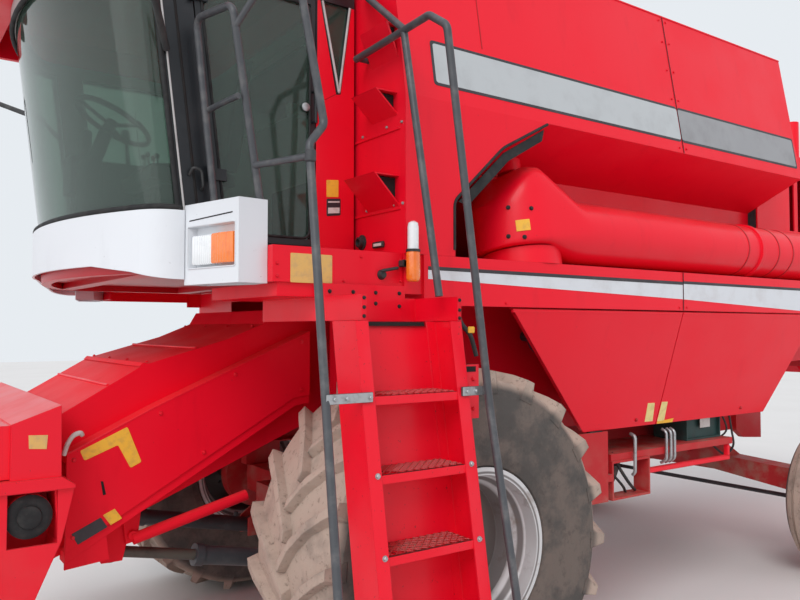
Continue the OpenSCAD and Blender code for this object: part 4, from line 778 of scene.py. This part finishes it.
DOOR_LINE = ((0.538, 2.174), (0.938, 2.174), (1.069, 3.252), (0.538, 3.252))
tube("door_rubber", on_side(CAB_Y + 0.0005, DOOR_LINE), 0.006, "seal", "door", closed=True, bend=0.04)
turned("door_lock", at(0.56, CAB_Y + 0.001, 2.775), LEFT, ((0, 0.02), (0.005, 0.019), (0.009, 0.012)), "zinc",
       "door", slot=None)
# Hook and catch low on the left pillar
tube("pillar_hook", [pillar_point(2.345, 0.095, CAB_Y + 0.004), pillar_point(2.35, 0.095, CAB_Y + 0.03),
                     pillar_point(2.42, 0.095, CAB_Y + 0.032), pillar_point(2.43, 0.06, CAB_Y + 0.03),
                     pillar_point(2.4, 0.05, CAB_Y + 0.004)], 0.006, "black_plastic", bend=0.015, slot=None)


def box_front(y):
    """How far forward the lamp box's slanting front lies."""
    return 1.12 - (y - 0.958) * 0.262


# Groove over the lamp box's recess, drawn as a dark strip of painted shade, and the rim round it
for end, s in SIDES:
    groove = [at(box_front(y), s * y, z)
              for y, z in ((0.99, 2.2), (1.262, 2.212), (1.262, 2.217), (0.99, 2.205))]
    plates(f"lamp_box_groove_{end}", [groove], "joint_and_painted_shade", outward=(1, 0.26 * s, 0), lift=0.0003,
           thick=0.0006)
    rim = [at(box_front(y) + 0.001, s * y, z) for y, z in rect(0.98, 2.007, 1.281, 2.179)]
    tube(f"lamp_box_frame_{end}", rim, 0.003, "white_paint", closed=True, bend=0.01)


def lamp_strip(bm, y0, y1, z0, z1, front, back, s, ribs):
    """A ribbed lens set into the lamp box, with its front parallel to the box's."""
    steps = ribs * 4
    rows = []
    for k in range(steps + 1):
        y = y0 + (y1 - y0) * k / steps
        swell = front * sin(pi * (0.12 + 0.76 * k / steps)) + 0.0014 * sin(2 * pi * ribs * k / steps)
        rows.append([bm.verts.new(at(box_front(y) + d, s * y, z))
                     for d, z in ((-back, z0), (swell - 0.004, z0), (swell, z0 + 0.006), (swell, z1 - 0.006),
                                  (swell - 0.004, z1), (-back, z1))])
    skin(bm, rows)


SIDE_LAMPS = (("side_lens", "lens", 1.004, 1.128, -0.009, 9), ("side_amber", "amber", 1.138, 1.27, 0.0115, 8))
MARKER = (  # the marker's parts: name, finish, height over its foot, profile
    ("marker_amber", "amber", 0,
     ((0, 0.02), (0.004, 0.026), (0.014, 0.0305), (0.12, 0.0305), (0.132, 0.027), (0.134, 0.022))),
    ("marker_clear", "lens", 0.1345,
     ((0, 0.0245), (0.006, 0.0245), (0.1, 0.0245), (0.118, 0.021), (0.1255, 0.01))),
    ("marker_collar", "black_plastic", 0.128, ((0, 0.0312), (0.01, 0.0312), (0.012, 0.0268))),
)
for end, s in SIDES:
    for name, mat, y0, y1, front, ribs in SIDE_LAMPS:
        bm = bmesh.new()
        lamp_strip(bm, y0, y1, 2.022, 2.14, front, 0.0378, s, ribs)
        add_mesh(f"{name}_{end}", bm, mat, smooth=True)
    for name, mat, rise, profile in MARKER:
        turned(f"{name}_{end}", at(0.272, s * 1.385, 1.966 + rise), UP, profile, mat, sides=36)
    blocks(f"marker_arm_{end}", [either((0.262, 1.3535, 2.03), (0.312, 1.372, 2.06), s),
                                 either((0.29, 1.331, 2.031), (0.312, 1.372, 2.059), s)], "black_plastic")
    for number, y in enumerate((0.42, 0.72)):
        foot = at(1.681, s * y, 3.42)
        turned(f"work_lamp_{end}_{number}", foot, AHEAD,
               ((0, 0.03), (0.02, 0.046), (0.07, 0.0615), (0.097, 0.0615), (0.099, 0.056), (0.088, 0.053)),
               "black_plastic")
        turned(f"work_lens_{end}_{number}", foot + Vector((0.0885, 0, 0)), AHEAD,
               ((0, 0.0525), (0.006, 0.05), (0.009, 0.03)), "lens")
turned("beacon_base", at(1.05, -0.7, 3.581), UP, ((0, 0.06), (0.03, 0.06), (0.036, 0.052)), "black_plastic",
       sides=40)
beacon = turned("beacon_dome", at(1.05, -0.7, 3.617), UP,
                ((0, 0.05), (0.004, 0.052), (0.07, 0.048), (0.095, 0.04), (0.11, 0.02), (0.113, 0.006)),
                "amber", sides=40)
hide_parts("lamps")

# Seat and controls

def cushion(name, low, high, crown, channels):
    """A crowned cushion whose sides pull in between its corners, with sewn channels across it."""
    low, high = Vector(low), Vector(high)
    nx, ny = 28, 28
    top, bottom = [], []
    bm = bmesh.new()
    for i in range(nx + 1):
        for j in range(ny + 1):
            u, v = i / nx * 2 - 1, j / ny * 2 - 1
            pull = 1 - 0.035 * (1 - v * v) * abs(u) ** 3
            pull_y = 1 - 0.035 * (1 - u * u) * abs(v) ** 3
            x = (low.x + high.x) / 2 + u * pull * (high.x - low.x) / 2
            y = (low.y + high.y) / 2 + v * pull_y * (high.y - low.y) / 2
            rim = (1 - abs(u) ** 5) * (1 - abs(v) ** 5)
            z = high.z - crown + crown * (rim ** 0.35) * (1 - 0.25 * (u * u + v * v))
            z -= 0.01 * max(0.0, 1 - abs(((u + 1) / 2 * channels) % 1 - 0.5) * 14) * rim
            top.append(bm.verts.new((x, y, z)))
            bottom.append(bm.verts.new((x, y, low.z + 0.008 * (1 - rim ** 0.3))))

    def index(i, j):
        return i * (ny + 1) + j

    for i in range(nx):
        for j in range(ny):
            a, b, c, d = index(i, j), index(i + 1, j), index(i + 1, j + 1), index(i, j + 1)
            bm.faces.new((top[a], top[b], top[c], top[d]))
            bm.faces.new((bottom[d], bottom[c], bottom[b], bottom[a]))
    border = [index(i, 0) for i in range(nx)] + [index(nx, j) for j in range(ny)] \
        + [index(i, ny) for i in range(nx, 0, -1)] + [index(0, j) for j in range(ny, 0, -1)]
    for a, b in zip(border, border[1:] + border[:1]):
        bm.faces.new((bottom[a], bottom[b], top[b], top[a]))
    return add_mesh(name, bm, "seat_fabric", slot="seat_fabric", smooth=True)


seat = cushion("seat_cushion", at(0.602, -0.248, 2.5), at(1.048, 0.248, 2.618), 0.045, channels=5)
back = cushion("seat_back", (-0.31, -0.238, -0.055), (0.31, 0.238, 0.052), 0.04, channels=6)
turn = Matrix.Translation(at(0.6, 0, 2.59)) @ Matrix.Rotation(radians(-8), 4, "Y") \
    @ Matrix.Translation((0, 0, 0.31)) @ Matrix.Rotation(radians(-90), 4, "Y") @ Matrix.Rotation(pi, 4, "Z")
back.data.transform(turn)
blocks("seat_base", [(at(0.671, -0.199, 2.3), at(0.999, 0.199, 2.499)),
                     (at(0.621, -0.239, 2.043), at(1.039, 0.239, 2.29))], "black_plastic", bevel=0.02)
bm = bmesh.new()
for k in range(6):  # folds of the boot between the two halves of the seat's base
    z = 2.302 + k * 0.033
    add_block(bm, at(0.664, -0.206, z), at(1.006, 0.206, z + 0.02), 0.008)
add_mesh("seat_boot", bm, "seal", smooth=True)
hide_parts("operator_seat")
tube("seat_piping", [at(x, y, 2.578) for x, y in rect(0.606, -0.244, 1.044, 0.244)], 0.005, "seal",
     closed=True, bend=0.05, slot="seat_fabric")

turned("drive_lever", at(0.96, -0.43, 2.68), (0.1, 0, 1),
       ((0, 0.012), (0.14, 0.01), (0.15, 0.024), (0.19, 0.028), (0.215, 0.02), (0.222, 0.006)),
       "black_plastic", slot=None)
for number, (x, y) in enumerate(((0.8, -0.48), (0.86, -0.48), (0.8, -0.4), (0.86, -0.4))):
    turned(f"lever_{number}", at(x, y, 2.68), (0.12, 0, 1),
           ((0, 0.006), (0.07, 0.006), (0.074, 0.014), (0.096, 0.015), (0.104, 0.006)),
           "ruby" if number == 0 else "black_plastic", slot=None)
blocks("monitor", [(at(1.18, -0.515, 2.702), at(1.225, -0.345, 2.85))], "black_plastic", bevel=0.008)
plates("monitor_face", [on_front(1.18, rect(-0.5, 2.715, -0.36, 2.838))],
       "gauge", outward=(-1, 0, 0), round_by=0.008)
for number, y in enumerate((-0.13, 0.0, 0.13)):
    blocks(f"pedal_{number}", [(at(1.205, y - 0.045, 2.112), at(1.3, y + 0.045, 2.128))], "seal", bevel=0.006)

# Glass of the mirrors
for end, s in SIDES:
    face = on_front(1.552, rect(1.73, 2.915, 1.925, 3.275), s)
    plates(f"mirror_glass_{end}", [face], "mirror", outward=(-1, 0, 0), thick=0.003, round_by=0.02)

# Ladder, rails

def ladder_y(z):
    """Where the ladder's outer face lies at a height, as it leans."""
    return 1.7 + (1.515 - z) * LADDER_LEAN


def ladder_face(x, z, proud=0.0):
    """A point on the ladder's outer face, or proud of it."""
    return at(x, ladder_y(z) + proud, z)


TREADS = (1.52, 1.243, 0.966, 0.689, 0.412)
LADDER_OUT = (0, 1, LADDER_LEAN)
bolts("stringer_bolts", [ladder_face(x, z) for z in TREADS for x in (0.692, 0.258) if z < 1.5], LADDER_OUT,
      "zinc")
for number, z in enumerate((1.52, 0.69)):
    y = ladder_y(z) + 0.0112
    faces = [[at(x, y, z + dz) for x, dz in rect(x0, -0.017, x1, 0.017)]
             for x0, x1 in ((0.691, 0.883), (0.163, 0.271))]
    plates(f"clamp_faces_{number}", faces, "zinc", round_by=0.004, slot=None)
bolts("clamp_bolts", [ladder_face(x, z, 0.013) for z in (1.52, 0.69)
                      for x in (0.702, 0.8, 0.85, 0.25, 0.205)], LEFT, "zinc", size=0.008)
LANDING_BOLTS = ((0.69, 1.88), (0.69, 1.845), (0.69, 1.812), (0.236, 1.88), (0.236, 1.84), (0.236, 1.808))
PLATFORM_BOLTS = ((0.33, 1.915), (0.45, 1.915), (0.56, 1.915), (0.67, 1.915), (0.33, 1.86), (0.45, 1.87),
                  (0.56, 1.87))
bolts("landing_bolts", on_side(1.6502, LANDING_BOLTS), LEFT, "seal", size=0.006, slot="bare_steel")
bolts("platform_bolts", on_side(1.3642, PLATFORM_BOLTS), LEFT, "seal", size=0.007, slot="bare_steel")
# Painted shade: a dark plate in the slot at the ladder's head
plates("ladder_slot", [[ladder_face(x, z, -0.145)
                        for x, z in rect(0.31, 1.792, 0.655, 1.776)]], "joint_and_painted_shade", thick=0.002)
# Expanded metal on the treads
bm = bmesh.new()
for z in TREADS:
    y0, y1 = ladder_y(z) - 0.15, ladder_y(z) - 0.012
    for x0 in (0.292 + k * 0.034 for k in range(-4, 13)):
        for run in (0.138, -0.138):  # each strand slants across the tread, cut off at its sides
            cuts = sorted((edge - x0) / run for edge in (0.294, 0.666))
            t0, t1 = max(0.0, cuts[0]), min(1.0, cuts[1])
            if t1 - t0 < 0.08:
                continue
            a, b = (Vector((x0 + run * t, y0 + (y1 - y0) * t, z + 0.0015)) for t in (t0, t1))
            across = Vector((b.y - a.y, a.x - b.x, 0)).normalized() * 0.0032
            up = Vector((0, 0, 0.004))
            skin(bm, [[bm.verts.new(at(*(p + o)))
                       for o in (-across, across, across * 0.4 + up, up - across * 0.4)] for p in (a, b)])
add_mesh("tread_mesh", bm, "dark_red_paint")
# Square hole, drawn as a dark plate of painted shade, and bolts on the ladder's rear hinge block
HINGE_BLOCK_Y = 1.6327
plates("hinge_block_hole", [on_side(HINGE_BLOCK_Y, rect(0.137, 1.59, 0.205, 1.612))], "joint_and_painted_shade")
bolts("hinge_block_bolts", on_side(HINGE_BLOCK_Y, ((0.15, 1.56), (0.15, 1.44), (0.2, 1.44))), LEFT,
      "red_paint", size=0.008)
# Catch that hangs under the band ahead of the first panel
tube("panel_stay", [at(-0.01, 1.336, 1.868), at(-0.03, 1.336, 1.79), at(-0.09, 1.336, 1.74),
                    at(-0.125, 1.336, 1.64)], 0.011, "black_plastic", bend=0.03)
blocks("panel_stay_tag", [(at(-0.105, 1.345, 1.745), at(-0.065, 1.351, 1.775))], "yellow")
CLAMP_TUBES = ((0.858, 1.545, 2.402), (0.906, 1.482, 3.23))
for number, p in enumerate(CLAMP_TUBES):
    foot = at(*p)
    turned(f"rail_clamp_{number}", foot + Vector((0, 0, -0.022)), UP,
           ((0, 0.018), (0.004, 0.021), (0.04, 0.021), (0.044, 0.018)), "charcoal")

# Feeder

GUARD = 0.62  # the outside of the feeder's side guards
COUPLING_X, COUPLING_Z = 1.651, 1.04
GUARD_BOLTS = ((0.4, 1.7), (0.4, 1.46), (0.75, 1.55), (1.1, 1.39), (1.46, 1.22), (1.46, 0.9), (0.9, 1.2))
FEEDER_MARKS = (  # name, finish, plane's y, rounding, outline as (x, z)
    ("guard_mark", "yellow", GUARD, 0.008,
     ((1.437, 1.255), (1.244, 1.341), (1.182, 1.185), (1.229, 1.163), (1.283, 1.267), (1.419, 1.213))),
    ("guard_sticker", "yellow", GUARD, 0.0, ((1.341, 0.976), (1.293, 0.997), (1.262, 0.952), (1.309, 0.93))),
    ("guard_label", "stripe_black", GUARD, 0.004,
     ((1.466, 0.915), (1.35, 0.968), (1.322, 0.924), (1.44, 0.868))),
    # The guard's slot is a dark plate of painted shade
    ("guard_slot", "joint_and_painted_shade", GUARD, 0.0, ((1.352, 1.12), (1.342, 1.118), (1.33, 1.062), (1.342, 1.06))),
    ("frame_sticker", "old_yellow", 0.78, 0.0,
     ((1.661, 1.356), (1.592, 1.352), (1.596, 1.298), (1.659, 1.304))),
)
for name, mat, y, round_by, outline in FEEDER_MARKS:
    plates(name, [on_side(y, outline)], mat, "feeder", round_by=round_by)
tube("cover_handle", [at(1.5, 0.622, 1.245), at(1.492, 0.64, 1.29), at(1.47, 0.64, 1.325),
                      at(1.44, 0.64, 1.335), at(1.43, 0.622, 1.322)], 0.01, "white_label", "feeder",
     bend=0.02)
for end, s in SIDES:
    bolts(f"guard_bolts_{end}", on_side(s * GUARD, GUARD_BOLTS), (0, s, 0), "red_paint", "feeder", 0.008)
    # Lap along the guard's upper edge
    tube(f"guard_fold_{end}", on_side(s * (GUARD - 0.002), ((0.352, 1.751), (1.126, 1.418), (1.488, 1.244))),
         0.004, "red_paint", "feeder")
    turned(f"drive_coupling_{end}", at(COUPLING_X, s * 0.7555, COUPLING_Z), (0, s, 0),
           ((0, 0.085), (0.004, 0.085), (0.012, 0.07), (0.01, 0.046), (0.022, 0.042), (0.026, 0.02)), "seal",
           "feeder", 48)
    bolts(f"coupling_bolts_{end}", around(at(COUPLING_X, s * 0.76, COUPLING_Z), 0.064, 6), (0, s, 0), "seal",
          "feeder", 0.006)
    bolts(f"frame_bolts_{end}", [at(1.7752, s * y, z) for y in (0.3, 0.7) for z in (1.22, 1.36)], AHEAD,
          "dark_red_paint", "feeder", 0.012)
# Ribs and catches on the feeder's cover
for number, (x, z) in enumerate(((0.9, 1.6745), (1.3, 1.5165))):
    tube(f"cover_rib_{number}", [at(x, -0.505, z), at(x, 0.505, z)], 0.006, "red_paint", "feeder")
bolts("cover_screws", [at(x, y, z) for x, z in ((0.6, 1.776), (1.12, 1.612))
                       for y in (-0.48, -0.16, 0.16, 0.48)], (0.3, 0, 1), "red_paint", "feeder", 0.007)

# Side panels

PANEL_TOP, PANEL_FOOT, PANEL_IN = 1.858, 1.195, 0.2


def panel_point(x, z, side):
    """A point on the outside of the sloped side panels."""
    return at(x, side * (PANEL_Y - (PANEL_TOP - z) * PANEL_IN / (PANEL_TOP - PANEL_FOOT)), z)


for end, s in SIDES:
    out = (0, s, -0.3)
    for panel, x, z in (("front", -1.499, 1.235), ("rear", -2.58, 1.24)):
        bolts(f"panel_catch_{panel}_{end}", [panel_point(x, z, s)], out, "dark_red_paint",
              f"panel_{end}_{panel}")
    blocks(f"panel_latch_{end}", [either((-1.215, 1.128, 1.18), (-1.105, 1.158, 1.194), s)], "seal",
           f"panel_{end}_front", 0.004)

PANEL_MARKS = (  # name, panel, finish, lift, outline as (x, z)
    ("front", "front", "pale_slash", 0.0006,
     ((-1.571, 1.33), (-1.636, 1.328), (-1.658, 1.216), (-1.583, 1.217))),
    ("rear", "rear", "pale_slash", 0.0006,
     ((-1.703, 1.33), (-1.76, 1.328), (-1.771, 1.21), (-1.703, 1.212))),
    ("foot", "rear", "yellow", 0.0024,
     ((-1.703, 1.212), (-1.738, 1.212), (-1.858, 1.222), (-1.855, 1.197), (-1.703, 1.197))),
)
for name, panel, mat, lift, outline in PANEL_MARKS:
    plates(f"panel_mark_{name}", [[panel_point(x, z, 1) for x, z in outline]], mat, f"panel_left_{panel}",
           outward=(0, 1, -0.3), lift=lift)

# Battery and its leads

low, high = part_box("battery_box")
rear_edge = Vector((low.x, 0, high.z))  # of the box's lid
label = [high - Vector((x, 0, z)) for x, z in rect(0.14, 0.03, 0.25, 0.125)]
plates("battery_label", [label], "white_label")


def smooth_path(points, steps=14):
    """A smooth line through given points."""
    pts = [Vector(p) for p in points]
    ext = [pts[0] * 2 - pts[1]] + pts + [pts[-1] * 2 - pts[-2]]
    out = []
    for i in range(1, len(ext) - 2):
        p0, p1, p2, p3 = ext[i - 1:i + 3]
        for k in range(steps):
            t = k / steps
            bend, twist = 2 * p0 - 5 * p1 + 4 * p2 - p3, 3 * p1 - p0 - 3 * p2 + p3
            out.append(0.5 * (2 * p1 + (p2 - p0) * t + bend * t * t + twist * t ** 3))
    return out + [pts[-1]]


# Bar under the battery's shelf with its strap, and the pipes that pass in front of the shelf
blocks("tray_bar", [(at(-2.5, 1.105, 0.905), at(-1.641, 1.135, 0.935)),
                    (at(-2.5, 1.105, 0.93), at(-2.47, 1.135, 1.0075))], "red_paint", bevel=0.004)
for number, x in enumerate((-1.798, -1.842, -1.878)):
    tube(f"shelf_pipe_{number}", [at(x, 1.12, 1.155), at(x, 1.152, 1.14), at(x, 1.152, 0.975),
                                  at(x, 1.11, 0.95)], 0.009, "zinc", bend=0.02)
tube("shelf_rod", [at(-1.5, 1.12, 1.15), at(-1.494, 1.158, 1.14), at(-1.49, 1.158, 0.93),
                   at(-1.49, 1.14, 0.915)], 0.01, "zinc", bend=0.02)


def near(corner, x, y, z):
    """A point at a true y, so far ahead of and above a corner of the battery box."""
    return Vector((corner.x + x, y, corner.z + z))


LEADS = (  # name, route from where each leaves the machine to where it goes back in, diameter
    ("battery_lead",
     (near(high, -0.13, 0.95, 0.016), near(high, -0.2, 1.0, 0.083), near(rear_edge, -0.02, 1.095, 0.008),
      near(low, -0.09, 1.11, 0.01), near(low, -0.125, 1.09, -0.08), near(low, -0.1, 1.04, -0.13),
      near(low, -0.05, 0.97, -0.06)), 0.014),
    ("earth_lead",
     (near(rear_edge, 0.08, 0.95, 0.016), near(rear_edge, 0.05, 1.03, 0.063), near(low, -0.04, 1.1, 0.06),
      near(low, -0.03, 1.02, -0.04)), 0.012),
    ("tray_hose",
     (at(-1.36, 1.095, 1.05), at(-1.4, 1.12, 0.96), at(-1.47, 1.13, 0.87), at(-1.56, 1.1, 0.815)), 0.019),
    ("axle_hose",
     (at(-1.33, 1.06, 1.008), at(-1.37, 1.09, 0.93), at(-1.45, 1.1, 0.85), at(-1.5, 1.08, 0.806)), 0.016),
)
for name, route, diameter in LEADS:
    line = smooth_path(route)
    o = tube(name, line, diameter / 2, "hose")

# Wheels

# Name, hub's place, disc's face, circle and size of the nuts, then the cap's foot, profile and sides
WHEELS = (
    ("front", (0, 1.18, FRONT_WHEEL_Z), 0.11, 0.145, 0.018,
     0.136, ((0, 0.09), (0.01, 0.088), (0.04, 0.07), (0.052, 0.05), (0.056, 0.01)), 40),
    ("rear", (REAR_WHEEL_X, 1.275, REAR_WHEEL_Z), 0.044, 0.09, 0.013,
     0.07, ((0, 0.052), (0.012, 0.05), (0.034, 0.036), (0.04, 0.008)), 32),
)
for end, s in SIDES:
    out = Vector((0, s, 0))
    for pair, (x, y, z), face, circle, size, foot, profile, count in WHEELS:
        hub, body = at(x, s * y, z), f"wheel_{pair}_{end}"
        bolts(f"{pair}_wheel_nuts_{end}", around(hub + out * face, circle, 8, 22.5), out, "zinc", body, size)
        turned(f"{pair}_hub_cap_{end}", hub + out * foot, out, profile, "dark_red_paint", body, count,
               "dark_red_paint")

# Engine cover and rear

for end, s in SIDES:
    blocks(f"tail_lamp_{end}", [(at(-6.052, s * 0.7 - 0.05, 1.96), at(-6.0405, s * 0.7 + 0.05, 2.06))],
           "ruby", bevel=0.005)
    bolts(f"hood_screws_{end}", [at(-4.56 - k * 0.29, s * 0.86, 2.1) for k in range(5)], (0, s, 0),
          "red_paint", size=0.008)
# Wires of the rotary screen
SCREEN = at(-3.78, -1.029, 2.62)
bm = bmesh.new()
back = Vector((0, -0.002, 0))
for p, q in zip(around(SCREEN, 0.05, 48), around(SCREEN, 0.355, 48)):
    across = (q - p).cross(Vector((0, 1, 0))).normalized() * 0.0012
    skin(bm, [[bm.verts.new(v + o) for o in (across, -across, back - across, back + across)] for v in (p, q)])
for r in (0.1, 0.16, 0.22, 0.28, 0.34):
    add_turned(bm, SCREEN, (0, -1, 0), ((0, r), (0.0022, r), (0.0022, r - 0.003), (0, r - 0.003)), 48)
add_mesh("screen_wires", bm, "bare_steel", "screen")

# Floor, light, camera

bpy.ops.mesh.primitive_plane_add(size=80, location=(0, 0, 0))
floor = bpy.context.object
floor.name = "floor"
ground = Finish("floor_grey", (0.7, 0.685, 0.67), 0.95)
ground.patches((0.5, 3), (0.4, 0.7), 0.25, (0.62, 0.6, 0.58))
floor.data.materials.append(ground.m)

world = bpy.data.worlds.new("studio")
bpy.context.scene.world = world
world.use_nodes = True
nodes, links = world.node_tree.nodes, world.node_tree.links
light = nodes["Background"]
light.inputs["Color"].default_value = (0.92, 0.95, 1.0, 1)
light.inputs["Strength"].default_value = 0.86
seen = nodes.new("ShaderNodeBackground")
seen.inputs["Color"].default_value = (0.8, 0.84, 0.88, 1)
seen.inputs["Strength"].default_value = 1.0
path = nodes.new("ShaderNodeLightPath")
mix = nodes.new("ShaderNodeMixShader")
links.new(path.outputs["Is Camera Ray"], mix.inputs["Fac"])
links.new(light.outputs["Background"], mix.inputs[1])
links.new(seen.outputs["Background"], mix.inputs[2])
links.new(mix.outputs["Shader"], nodes["World Output"].inputs["Surface"])


def sunlight(name, energy, angle, turn):
    """A sun, with its direction given by three turns in degrees."""
    lamp = bpy.data.objects.new(name, bpy.data.lights.new(name, "SUN"))
    lamp.data.energy, lamp.data.angle = energy, angle
    lamp.rotation_euler = [radians(a) for a in turn]
    bpy.context.scene.collection.objects.link(lamp)


sunlight("sun", 1.15, 0.5, (-30, 39, 0))
sunlight("front_fill", 0.6, 1.2, (0, 75, 15))

camera = bpy.data.cameras.new("camera")
camera.lens = LENS
camera.sensor_width = 36
eye = bpy.data.objects.new("camera", camera)
bpy.context.scene.collection.objects.link(eye)
a, p = radians(CAMERA_AZIMUTH), radians(CAMERA_PITCH)
look = Vector((-sin(a) * cos(p), cos(a) * cos(p), sin(p)))
eye.location = CAMERA_AT
eye.rotation_euler = look.to_track_quat("-Z", "Y").to_euler()
bpy.context.scene.camera = eye
bpy.context.scene.view_settings.view_transform = "Standard"
